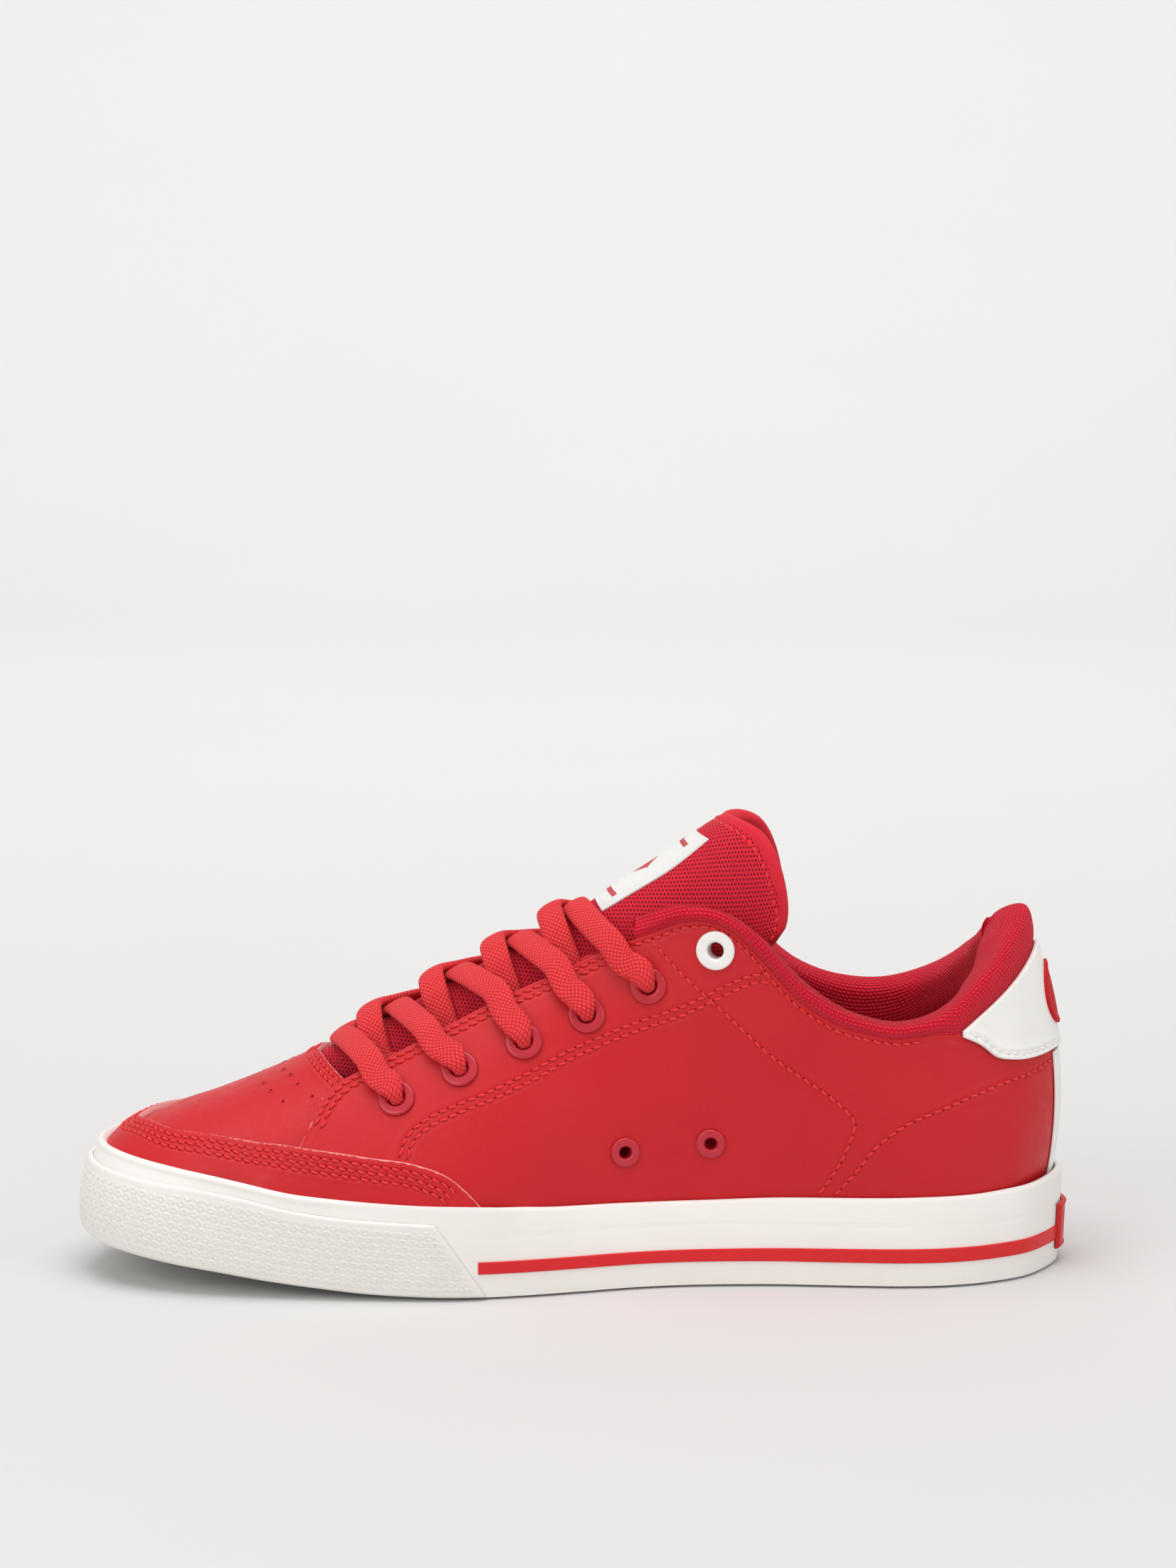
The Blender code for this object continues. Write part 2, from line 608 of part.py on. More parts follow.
def hole_cutter(name, side, places, radius):
    """Cylinders through the upper at pattern places."""
    bm = bmesh.new()
    for s, t in places:
        centre = world(skin(side * s, t))
        n = Vector(normal(side * s, t))
        turn = n.to_track_quat("Z", "Y").to_matrix().to_4x4()
        turn.translation = Vector(centre) - n * 0.0015
        bmesh.ops.create_cone(bm, cap_ends=True, segments=10, radius1=radius * MM,
                              radius2=radius * MM, depth=0.012, matrix=turn)
    mesh = bpy.data.meshes.new(name)
    bm.to_mesh(mesh)
    bm.free()
    cutter = bpy.data.objects.new(name, mesh)
    bpy.context.scene.collection.objects.link(cutter)
    cutter.hide_render = True
    cutter.display_type = "WIRE"
    return cutter


def punch(obj, cutter):
    cut = obj.modifiers.new("holes", "BOOLEAN")
    cut.operation = "DIFFERENCE"
    cut.object = cutter
    cut.solver = "EXACT"


def eyelet(name, side, place, flange, barrel, bore, face, mat):
    """Flanged tube through the upper."""
    s, t = place
    centre = skin(side * s, t)
    axis = Vector(normal(side * s, t))
    turn = np.array(axis.to_track_quat("Z", "Y").to_matrix())
    profile = ((bore, face + 1.3), (flange - 0.6, face + 1.3), (flange, face + 0.5),
               (barrel, face + 0.4), (barrel, -5.0), (bore, -5.0))
    rings = []
    for k in range(9):
        a = 2 * math.pi * k / 9
        local = np.array([(r * math.cos(a), r * math.sin(a), h) for r, h in profile])
        rings.append(centre + local @ turn.T)
    return loft(name, rings, mat)


def build_quarters(mats):
    for side, label in ((-1, "medial"), (1, "lateral")):
        eyelets = hole_cutter("eyelet_holes_" + label, side, EYELETS, EYELET_HOLE)
        s, t = quarter_grid(side, 25, 8)
        face = quarter_face(s)
        quarter = panel("quarter_" + label, s, t, face - LEATHER, face, mats["leather"])
        punch(quarter, eyelets)
        stay = build_eyestay(side, label, mats)
        punch(stay, eyelets)
        lining = build_quarter_lining(side, label, mats)
        punch(lining, eyelets)
        if side < 0:
            vents = hole_cutter("vent_holes", side, VENTS, VENT_HOLE)
            punch(quarter, vents)
            punch(lining, vents)
            for k, place in enumerate(VENTS, 1):
                eyelet(f"vent_eyelet_{k}", side, place, VENT_FLANGE, VENT_BARREL, VENT_BORE,
                       QUARTER_FLUSH, mats["eyelet"])
        for k, place in enumerate(EYELETS, 1):
            paint = mats["white_eyelet"] if k == len(EYELETS) else mats["eyelet"]
            face_k = float(quarter_face(place[0]))
            eyelet(f"lace_eyelet_{label}_{k}", side, place, EYELET_FLANGE, EYELET_BARREL,
                   EYELET_BORE, face_k, paint)


def build_eyestay(side, label, mats):
    """Stiff strip behind the eyelets."""
    run = np.linspace(0.46, 0.80, 10)
    middle = line_at(EYELETS, run)
    rise = np.linspace(-0.11, 0.075, 3)
    s = run[:, None] + np.zeros((1, 3))
    t = np.minimum(middle[:, None] + rise[None, :], top_line(s) - 0.02)
    return panel("eyestay_backing_" + label, side * s, t, MIDDLE[0], MIDDLE[1], mats["board"])


def build_quarter_lining(side, label, mats):
    """Textile lining of one side, from the vamp to the collar lining."""
    run = np.linspace(0.41, 0.80, 13)
    top = np.minimum(top_line(run), 0.93) - 0.03
    rise = np.linspace(0, 1, 5)
    s = run[:, None] + np.zeros((1, 5))
    t = 0.02 + (top[:, None] - 0.02) * rise[None, :]
    return panel("quarter_lining_" + label, side * s, t, LINING[0], LINING[1], mats["lining"])


def round_heel(start, cols):
    """Around values from the lateral side round the heel to the medial side."""
    return even_run(start, 2 - start, cols)


def collar_skin(s):
    """Rows of the collar's textile face, from the leather's edge over the roll
    and down inside to the sockliner."""
    _, top, tilt, _, out, _ = spokes(s)
    thick = read(COLLAR_THICK, np.abs(s))[:, None]
    level = np.zeros((len(s), 1))
    down = np.concatenate([out * np.cos(tilt)[:, None], -np.sin(tilt)[:, None] + level], 1)
    away = np.concatenate([out * np.sin(tilt)[:, None], np.cos(tilt)[:, None] + level], 1)
    edge = top_line(s)
    lined = ease(0.80, 0.85, np.abs(s))

    def wall_row(near, far, depth):
        return skin(s, near + (far - near) * lined, -depth)
    pad = 4.6 + 0.55 * (thick[:, 0] - 5) * lined
    return np.stack([
        skin(s, edge + 0.009, 0.1), skin(s, (edge + 1) / 2, 0.8), top,
        top - away * thick * 0.45 - down * thick * 0.18,
        top - away * thick * 0.9 - down * thick * 0.02,
        top - away * thick * 1.08 + down * thick * 0.5,
        wall_row(0.955, 0.62, pad), wall_row(0.95, 0.42, 4.9), wall_row(0.94, 0.05, 4.5)], 1)


def inward(grid, depth):
    """Moves a grid of points along its own normals, away from its face."""
    n = np.cross(np.gradient(grid, axis=0), np.gradient(grid, axis=1))
    n /= np.maximum(np.linalg.norm(n, axis=-1, keepdims=True), 1e-9)
    return grid + n * depth


def build_collar(mats):
    s = round_heel(0.712, 37)
    face = collar_skin(s)
    depth = COLLAR_SKIN * (0.5 + 0.5 * ease(0.77, 0.86, np.abs(s)))
    shell("collar_lining", face, inward(face, depth[:, None, None]), mats["knit"])
    s = round_heel(0.853, 21)
    face = collar_skin(s)
    packed = inward(face, COLLAR_SKIN + 0.9)[:, 1:7]
    edge = top_line(s)
    outside = [skin(s, up, MIDDLE[1]) for up in
               (0.60 + 0 * s, (0.60 + edge) / 2, edge - 0.02)]
    rings = np.concatenate([np.stack(outside, 1), packed], 1)
    loft("collar_foam", rings, mats["foam"], closed=False)


def build_heel(mats):
    rows = np.linspace(0, 1, 4)[None, :]
    s = round_heel(0.875, 15)[:, None] + np.zeros_like(rows)
    t = 0.05 + 0.47 * rows * (1 - 0.35 * ((1 - np.abs(s)) / 0.125) ** 2)
    panel("heel_counter", s, t, MIDDLE[0], MIDDLE[1], mats["board"])
    s = round_heel(0.9475, 15)[:, None] + np.zeros((1, 4))
    low = line_at(TAB_LOWER, np.abs(s))
    high = line_at(TAB_EDGE, np.abs(s)) + 0.004
    t = low + (high - low) * np.linspace(0, 1, 4)[None, :]
    panel("heel_tab", s, t, GAP, GAP + OVERLAY_THICK, mats["white"])
    s = round_heel(0.9935, 5)[:, None] + np.zeros((1, 5))
    t = np.linspace(0.13, TAB_LOWER[-1][1] - 0.02, 5)[None, :] + np.zeros_like(s)
    panel("backstay", s, t, GAP, GAP + 0.8, mats["white"])
    build_emblem(mats)


def build_emblem(mats):
    """Plain oval patch on the back of the heel tab."""
    angle = np.linspace(0, 2 * math.pi, 12, endpoint=False)[:, None]
    radius = np.array([1.0, 0.6, 0.0])[None, :]
    s = 1 + EMBLEM_SIZE[0] * np.cos(angle) * radius
    s = np.where(s > 1, s - 2, s)
    t = EMBLEM_UP + EMBLEM_SIZE[1] * np.sin(angle) * radius
    base = GAP + OVERLAY_THICK + 0.4
    panel("heel_emblem", s, t, base, base + 0.7, mats["patch"], wrap=True, ridge=True)


# ---- tongue ------------------------------------------------------------------
def tongue(a, b, lift=0.0):
    """Point of the tongue's front face: a runs up its length, b across it."""
    a, b = np.broadcast_arrays(np.asarray(a, float), np.asarray(b, float))
    table = np.array([(k, *middle, *edge) for k, middle, edge in TONGUE], float)

    def face(a, b):
        v = smooth(table[:, 0], table[:, 1:], a)
        turn = TONGUE_ARC * np.abs(b)
        sideways = np.sign(b) * np.sin(turn) / math.sin(TONGUE_ARC)
        back = (1 - np.cos(turn)) / (1 - math.cos(TONGUE_ARC))
        crown = TONGUE_CROWN * np.sin(math.pi * b) ** 2 * ease(0.84, 1.0, a)
        return np.stack([v[..., 0] + (v[..., 2] - v[..., 0]) * back + 0.31 * crown,
                         TONGUE_Y + v[..., 3] * sideways,
                         v[..., 1] + (v[..., 4] - v[..., 1]) * back + 0.95 * crown], -1)
    step = 1e-3
    n = np.cross(face(a, b + step) - face(a, b - step), face(a + step, b) - face(a - step, b))
    n /= np.linalg.norm(n, axis=-1, keepdims=True)
    return face(a, b) - n * np.asarray(lift, float)[..., None]


def tongue_piece(name, a, b, low, high, mat):
    return shell(name, tongue(a, b, high), tongue(a, b, low), mat)


def tongue_top(b, inset):
    """Where the tongue's rounded top edge lies at b, inset from the outermost."""
    past = np.clip((np.abs(b) - CORNER[1]) / (1 - CORNER[1] - inset), 0, 1)
    return CORNER[0] + (1 - CORNER[0] - 0.4 * inset) * np.sqrt(1 - past**2)


def build_tongue_base(mats):
    b = np.linspace(-1, 1, 11)[:, None]
    end = TONGUE_HINGE - 0.004 - TONGUE_WEDGE * np.abs(b)
    a = end * np.linspace(0, 1, 10)[None, :]
    tongue_piece("tongue_base", a, b, -TONGUE_THICK, 0.0, mats["mesh"])


def tongue_field(inset, cols, rows):
    b = np.linspace(-1, 1, cols)[:, None] * (1 - inset)
    start = TONGUE_HINGE + 0.004
    a = start + (tongue_top(b, inset) - start) * np.linspace(0, 1, rows)[None, :]
    return a, b


def build_tongue_binding(mats):
    """Band around the sides and top of the tongue's free end."""
    start = TONGUE_HINGE + 0.004
    lanes = []
    for inset in (0.0, 0.075):
        wide = 1 - inset
        turn = np.linspace(0, math.pi / 2, 6)
        across = CORNER[1] + (wide - CORNER[1]) * np.cos(turn)
        high = CORNER[0] + (1 - CORNER[0] - 0.4 * inset) * np.sin(turn)
        b = np.concatenate([[wide] * 3, across, [0.2, 0.0]])
        a = np.concatenate([np.linspace(start, CORNER[0], 4)[:3], high, [high[-1]] * 2])
        lanes.append((np.concatenate([a, a[-2::-1]]), np.concatenate([b, -b[-2::-1]])))
    a = np.stack([lane[0] for lane in lanes], 1)
    b = np.stack([lane[1] for lane in lanes], 1)
    return tongue_piece("tongue_binding", a, b, -TONGUE_THICK, 0.0, mats["knit"])


def build_tongue(mats):
    build_tongue_base(mats)
    hinge = bpy.data.objects.new("tongue_flex", None)
    hinge.location = world(tongue(TONGUE_HINGE, 0.0))
    bpy.context.scene.collection.objects.link(hinge)
    a, b = tongue_field(0.1, 9, 5)
    foam_top = TONGUE_SKIN + 0.4
    foam_low = TONGUE_THICK - TONGUE_SKIN - 0.4
    moving = [
        tongue_piece("tongue_cover", a, b, -TONGUE_SKIN, 0.0, mats["mesh"]),
        tongue_piece("tongue_foam", a, b, -foam_low, -foam_top, mats["foam"]),
        tongue_piece("tongue_lining", a, b, -TONGUE_THICK, TONGUE_SKIN - TONGUE_THICK, mats["knit"]),
        build_tongue_binding(mats),
    ]
    b = np.linspace(-1, 1, 7)[:, None] * LABEL_HALF
    a = np.linspace(*LABEL_SPAN, 6)[None, :]
    moving.append(tongue_piece("tongue_label", a, b, 0.4, 0.9, mats["white"]))
    bpy.context.view_layer.update()
    for piece in moving:
        piece.parent = hinge
        piece.matrix_parent_inverse = hinge.matrix_world.inverted()


# ---- lace --------------------------------------------------------------------
def beside(side, s, t, lift):
    """Lace point over one quarter's face, or under its lining, with the normal."""
    face = float(quarter_face(s)) if lift > 0 else 0.0
    return skin(side * s, t, face + lift), normal(side * s, t)


def across(a, b, lift):
    """Lace point over the tongue, with the tongue's normal."""
    p = tongue(a, b, lift)
    return p, (tongue(a, b, 1.0) - tongue(a, b, 0.0))


def into_eyelet(side, k):
    """From the eyestay's edge over the leather and through eyelet k."""
    s, t = EYELETS[k]
    lean = LACE_LEAN[k]
    edge = float(top_line(np.array(s - lean)))
    return [
        (*beside(side, s - lean, edge + 0.01, 2.4), 1.0),
        (*beside(side, s - 0.6 * lean, 0.5 * edge + 0.5 * t, 2.6), 1.0),
        (*beside(side, s - 0.28 * lean, t + 0.055, 3.0), 1.0),
        (*beside(side, s - 0.04 * lean, t + 0.014, 2.9), 0.38),
        (*beside(side, s, t, 1.4), 0.0),
        (*beside(side, s, t, -2.0), 0.0),
        (*beside(side, s, t, -6.4), 0.0),
    ]


def out_under_edge(side, k):
    """From inside eyelet k up between the lining and the tongue."""
    s, t = EYELETS[k]
    edge = float(top_line(np.array(s)))
    return [
        (*beside(side, s + 0.002, t + 0.035, -7.4), 0.3),
        (*beside(side, s + 0.004, 0.5 * t + 0.5 * edge, -6.3), 0.8),
        (*beside(side, s + 0.002, edge, -5.9), 1.0),
        (*across(CROSSINGS[k + 1] - 0.02, side * 0.70, LACE_LOW), 1.0),
    ]


def crossing(side, k, over):
    """Over the tongue from `side` to its middle, above or below the other strand."""
    route = CROSS_OVER if over else CROSS_UNDER
    return [(*across(CROSSINGS[k] + ahead, side * b, lift), 1.0)
            for b, (ahead, lift) in zip(CROSS_ACROSS, route)]


def taut(side, start, end):
    """Points of the nearly straight run between two supports."""
    points = []
    for u in STRAND_SPLITS:
        up = start[1] * (1 - u) + end[1] * u
        up = up / np.linalg.norm(up)
        bow = STRAND_RISE[side] * 4 * u * (1 - u)
        points.append((start[0] * (1 - u) + end[0] * u + up * bow, up, 1.0))
    return points


def tail(side):
    """Loose end, tucked inside down the quarter and forward over the sockliner."""
    return [(*beside(side, s, t, -depth), wide) for s, t, depth, wide in TAIL]


def half_lace(side):
    """From the middle of the first bar to the loose end on `side`'s last eyelet."""
    path = [(*across(CROSSINGS[0] + 0.004, side * 0.1, LACE_LOW + 0.3), 1.0)]
    here = side
    for k in range(5):
        entry = into_eyelet(here, k)
        path += taut(here, path[-1], entry[0]) + entry
        if k < 4:
            path += out_under_edge(here, k)
            path += crossing(here, k + 1, over=here < 0)
            here = -here
    return path + tail(here)


def lace_frames():
    first = half_lace(-1)
    second = half_lace(1)
    middle = [(*across(CROSSINGS[0], 0.0, LACE_LOW), 1.0)]
    nodes = first[::-1] + middle + second
    points = np.array([n[0] for n in nodes])
    ups = np.array([n[1] for n in nodes])
    wide = np.array([n[2] for n in nodes])
    return points, ups, wide


def ribbon_rings(points, ups, wide, sides=8):
    """Oval sections: a flat braid, rounder where it is squeezed."""
    along = np.gradient(points, axis=0)
    along /= np.linalg.norm(along, axis=1, keepdims=True)
    up = ups - along * (ups * along).sum(1, keepdims=True)
    up /= np.linalg.norm(up, axis=1, keepdims=True)
    flat = np.cross(along, up)
    half_w = (LACE_ROUND + (LACE_WIDTH - LACE_ROUND) * wide) / 2
    half_h = (LACE_ROUND + (LACE_THICK - LACE_ROUND) * wide) / 2
    angle = 2 * math.pi * (np.arange(sides) + 0.5) / sides
    return (points[:, None] + flat[:, None] * (half_w[:, None] * np.cos(angle))[..., None]
            + up[:, None] * (half_h[:, None] * np.sin(angle))[..., None])


def build_lace(mats):
    points, ups, wide = lace_frames()
    rings = ribbon_rings(points, ups, wide)
    loft("lace", rings, mats["lace"], closed=False)
    for label, end, inner in (("lateral", 0, 1), ("medial", -1, -2)):
        along = points[end] - points[inner]
        along /= np.linalg.norm(along)
        start = points[end] + along * 0.4
        side = np.cross(along, [0, 0, 1.0])
        side /= np.linalg.norm(side)
        up = np.cross(side, along)
        angle = 2 * math.pi * np.arange(8) / 8
        round_ = side * np.cos(angle)[:, None] + up * np.sin(angle)[:, None]
        rings = [start + along * d + round_ * AGLET_RADIUS for d in (0, AGLET_LENGTH)]
        loft("aglet_" + label, rings, mats["plastic"], closed=False)


# ---- scene -------------------------------------------------------------------
def clear_scene():
    for obj in list(bpy.data.objects):
        bpy.data.objects.remove(obj, do_unlink=True)


def make_materials():
    return {
        "leather": material("red_leather", (0.56, 0.035, 0.04), 0.5),
        "lining": material("red_lining", (0.45, 0.01, 0.03), 0.9),
        "knit": material("crimson_knit", (0.5, 0.012, 0.035), 0.9),
        "mesh": material("crimson_mesh", (0.47, 0.015, 0.035), 0.85),
        "lace": material("red_braid", (0.62, 0.04, 0.045), 0.8),
        "sole": material("white_rubber", (0.86, 0.84, 0.81), 0.55),
        "bumper": material("white_bumper", (0.84, 0.82, 0.79), 0.6),
        "stripe": material("red_rubber", (0.65, 0.03, 0.04), 0.5),
        "patch": material("red_patch", (0.66, 0.03, 0.04), 0.5),
        "foam": material("white_foam", (0.8, 0.79, 0.76), 0.9),
        "board": material("grey_board", (0.55, 0.53, 0.5), 0.9),
        "white": material("white_leather", (0.88, 0.87, 0.85), 0.5),
        "eyelet": material("red_eyelet", (0.5, 0.04, 0.06), 0.35),
        "white_eyelet": material("white_eyelet", (0.86, 0.84, 0.82), 0.35),
        "plastic": material("clear_red_plastic", (0.5, 0.03, 0.04), 0.25),
    }


def main():
    clear_scene()
    mats = make_materials()
    build_sole(mats)
    build_vamp(mats)
    build_mudguard(mats)
    build_quarters(mats)
    build_collar(mats)
    build_heel(mats)
    build_tongue(mats)
    build_lace(mats)


main()
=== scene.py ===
import math

import bmesh
import bpy
import numpy as np
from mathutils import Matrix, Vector, kdtree

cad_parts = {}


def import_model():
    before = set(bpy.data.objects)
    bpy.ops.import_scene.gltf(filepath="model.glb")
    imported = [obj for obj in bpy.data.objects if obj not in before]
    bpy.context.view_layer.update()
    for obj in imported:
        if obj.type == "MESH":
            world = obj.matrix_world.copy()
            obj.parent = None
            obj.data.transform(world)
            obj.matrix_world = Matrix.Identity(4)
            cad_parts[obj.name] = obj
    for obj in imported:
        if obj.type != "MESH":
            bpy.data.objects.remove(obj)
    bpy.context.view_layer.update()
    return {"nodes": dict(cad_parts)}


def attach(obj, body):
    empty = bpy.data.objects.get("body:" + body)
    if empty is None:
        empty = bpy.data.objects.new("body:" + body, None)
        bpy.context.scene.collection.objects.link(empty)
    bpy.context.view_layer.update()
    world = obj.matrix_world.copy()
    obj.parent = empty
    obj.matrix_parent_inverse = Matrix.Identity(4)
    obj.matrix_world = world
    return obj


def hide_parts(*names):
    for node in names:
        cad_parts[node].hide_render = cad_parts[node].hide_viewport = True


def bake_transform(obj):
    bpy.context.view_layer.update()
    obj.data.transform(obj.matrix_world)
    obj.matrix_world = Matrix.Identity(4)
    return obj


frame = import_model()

# ---- dimensions shared with the frame -----------------------------------------
MM = 0.001
CENTRE_X = 150.535          # middle of the finished shoe in the drawing frame
CENTRE_Y = 1.22
GAP = 0.5                   # clearance between neighbouring layers
LINE_PITCH = 0.4            # mm between the points of a pattern line

OUTSOLE_THICK = 5.0
LAST_RISE = 17.0            # bottom of the upper above the ground line

FOXING_CLEAR = 2.15         # foxing's inner face at the toe, outside the base surface
FOXING_OUT = 5.5            # foxing's outer face, outside the base outline
FOXING_BOTTOM = 0.8         # foxing's lower edge above the ground line
FOXING_SEAM = 0.405         # where its two ends meet, around
FOXING_LINE = 19.0          # height of the fine line pressed into it
BUMPER_THICK = 1.3
STRIPE_START = 0.56         # around
STRIPE_BOTTOM = 8.3
STRIPE_TOP = 11.7           # at the sides; STRIPE_RISE more at the heel
STRIPE_RISE = 0.7
BUMPER_BOTTOM = 1.2
BUMPER_END = 0.567          # around, at its lower edge; BUMPER_SLANT less at its top
BUMPER_SLANT = 0.047
PATCH_START = 0.9925        # heel patch's side edges, around
PATCH_LOW = 5.0
PATCH_TALL = 14.0

VAMP_FACE = 0.0             # vamp's outer face, outside the base surface
QUARTER_RISE = 1.8          # quarter's outer face where it laps the vamp
QUARTER_FLUSH = 0.0         # and where it doesn't
VAMP_THICK = 1.3
LEATHER = 1.2               # quarter's thickness
OVERLAY_THICK = 1.0         # mudguard's and heel tab's

EYELET_FLANGE = 6.0         # radii
EYELET_BORE = 2.5
VENT_FLANGE = 4.5
VENT_BORE = 1.8

TONGUE_THICK = 5.0
TONGUE_HINGE = 0.716        # where the tongue starts to flex, along its length

LACE_FLAT = (8.5, 3.1)      # width and thickness where it lies flat
LACE_SQUEEZED = (4.2, 4.0)  # and where it passes through an eyelet
AGLET_LENGTH = 22.0
AGLET_RADIUS = 1.9

# Height of the ground line above Z = 0: the toe springs up.
GROUND = ((0, 12.5), (15, 10.8), (30, 8.6), (45, 6.6), (60, 4.4), (75, 2.6),
          (90, 1.1), (105, 0.35), (120, 0.03), (130, 0), (140, 0), (305, 0))
# Height of the foxing's top edge.
FOXING_TOP = ((0, 38.2), (14, 37.7), (27, 36.4), (40, 34.8), (53, 32.8), (66, 30.6),
              (79, 29.4), (98, 28.2), (123, 27.5), (148, 26.2), (187, 25.8),
              (212, 26.6), (250, 27.2), (283, 28.2), (305, 31.0))
# Height of the bumper's top edge.
BUMPER_TOP = ((0, 35.6), (7, 34.9), (14, 34.4), (27, 33.0), (40, 31.9), (53, 29.9), (66, 27.0),
              (79, 25.2), (98, 23.9), (123, 23.0), (150, 22.5))

# Spokes of the base surface: around, medial foot (x, y), lateral foot (x, y),
# medial top (x, y, z), lateral top (x, y, z), tilt at the top, heel belly.
SPOKES = (
    (0.00, (7.0, -9), (7.0, -9), (27, -7, 48.5), (27, -7, 48.5), 0, 0),
    (0.08, (10, -22), (9.5, 5), (30, -7, 49.6), (30, -7, 49.6), 0, 0),
    (0.16, (18, -32), (17, 17), (36, -6.5, 51.8), (36, -6.5, 51.8), 0, 0),
    (0.24, (33, -39.5), (31, 28), (45, -6, 54.8), (45, -6, 54.8), 0, 0),
    (0.32, (52, -43.5), (50, 38.5), (58, -5.5, 60), (58, -5.5, 60), 0, 0),
    (0.40, (74, -46), (73, 46.5), (74, -5, 67.2), (74, -5, 67.2), 0, 0),
    (0.48, (97, -47.5), (97, 50), (93, -4, 75.5), (93, -4, 75.5), 0, 0),
    (0.54, (115, -47.5), (116, 49.5), (112, -3.5, 85), (112, -3.5, 85), 0, 0),
    (0.60, (133, -44.5), (134, 46.5), (132, -5, 96), (132, -1, 96), 4, 0),
    (0.66, (151, -39.5), (152, 43), (151, -11, 107), (151, 7, 106), 16, 0),
    (0.71, (168, -34.5), (168, 39.5), (168, -21, 112), (168, 18, 110), 34, 0),
    (0.75, (182, -32), (182, 37), (182, -27, 113.8), (182, 25, 111.5), 52, 0),
    (0.79, (197, -31), (197, 35.5), (195, -31, 112.5), (195, 30, 108.5), 64, 0),
    (0.83, (212, -31), (212, 35), (207, -34, 104.5), (207, 33, 97), 70, 0),
    (0.865, (225, -32), (225, 35), (220, -35.5, 91), (220, 34.8, 86), 74, 0),
    (0.895, (238, -33), (238, 35), (234, -36, 82.5), (234, 35, 81), 76, 0),
    (0.92, (250, -33.5), (250, 34.5), (249, -35, 79.5), (249, 34, 81), 76, 0),
    (0.94, (261, -32.5), (261, 33), (262, -31.5, 83), (262, 31, 85.5), 74, 0.5),
    (0.96, (273, -28.5), (273, 28.5), (273, -24.5, 92), (273, 24.5, 93.5), 70, 2.0),
    (0.98, (285, -19.5), (285, 18.5), (282, -14, 102), (282, 14, 102.5), 66, 4.0),
    (1.00, (293.4, 0), (293.4, 0), (287.5, 0, 109.5), (287.5, 0, 109.5), 62, 6.5),
)

# Pattern lines as (around, up) points, the same on both sides.
THROAT = ((0.60, 0.0), (0.54, 0.2), (0.48, 0.42), (0.432, 0.64), (0.409, 0.8), (0.392, 1.0))
QUARTER_FRONT = ((0.33, 0.0), (0.36, 0.2), (0.384, 0.385), (0.396, 0.48), (0.402, 0.53),
                 (0.432, 0.63), (0.444, 0.642))
EYESTAY_EDGE = ((0.444, 0.642), (0.516, 0.685), (0.581, 0.715), (0.649, 0.748), (0.704, 0.855))
COLLAR_EDGE = ((0.704, 0.855), (0.729, 0.905), (0.748, 0.945), (0.772, 0.963),
               (0.796, 0.96), (0.818, 0.945), (0.837, 0.925), (0.86, 0.922),
               (0.884, 0.93), (0.911, 0.943), (0.938, 0.912), (0.946, 0.868))
TAB_EDGE = ((0.946, 0.868), (0.958, 0.865), (0.972, 0.855), (0.987, 0.858), (1.0, 0.875))
TAB_LOWER = ((0.946, 0.860), (0.957, 0.74), (0.964, 0.65), (0.973, 0.583), (0.985, 0.532),
             (1.0, 0.50))
MUDGUARD_EDGE = ((0.0, 0.75), (0.113, 0.69), (0.2, 0.555), (0.252, 0.505), (0.325, 0.417),
                 (0.381, 0.352), (0.451, 0.292), (0.507, 0.238), (0.535, 0.188),
                 (0.553, 0.135), (0.566, 0.09))
EYELETS = ((0.487, 0.482), (0.547, 0.512), (0.607, 0.53), (0.667, 0.575), (0.722, 0.698),
           (0.782, 0.873))
VENTS = ((0.702, 0.195), (0.775, 0.23))

# Collar thickness: (around, mm).
COLLAR_THICK = ((0.69, 5.0), (0.75, 5.5), (0.80, 7.0), (0.86, 8.5), (0.92, 10.5),
                (0.96, 13), (1.0, 15))

# Tongue stations: along, middle (x, z), side edge (x, y, z) with y outwards.
TONGUE = (
    (0.00, (60, 58.0), (64, 13, 45)),
    (0.12, (76, 66.0), (83, 15.5, 52)),
    (0.25, (95, 76.0), (104, 16.5, 58.5)),
    (0.40, (115, 87.5), (127, 17, 66)),
    (0.55, (135, 98.5), (149, 17, 73.5)),
    (0.68, (151, 108), (168, 17.5, 81)),
    (0.78, (164, 116.5), (190, 19.5, 91)),
    (0.90, (180, 127), (212, 22.5, 103.5)),
    (1.00, (197, 139.5), (223, 25.5, 121.5)),
)
LABEL_SPAN = (0.726, 0.948)
LABEL_HALF = 0.30
EMBLEM_UP = 0.69
EMBLEM_SIZE = (0.009, 0.115)
COLLAR_SKIN = 1.0
COLLAR_START = 0.712        # its front ends, around; full size from COLLAR_FULL
COLLAR_FULL = 0.745
QUARTER_BACK = 0.9985       # quarters' back edges, around
BACKSTAY_LOW = 0.09         # its lower edge, up
EMBLEM_SHOWN = 0.84         # its shown width as a share of EMBLEM_SIZE

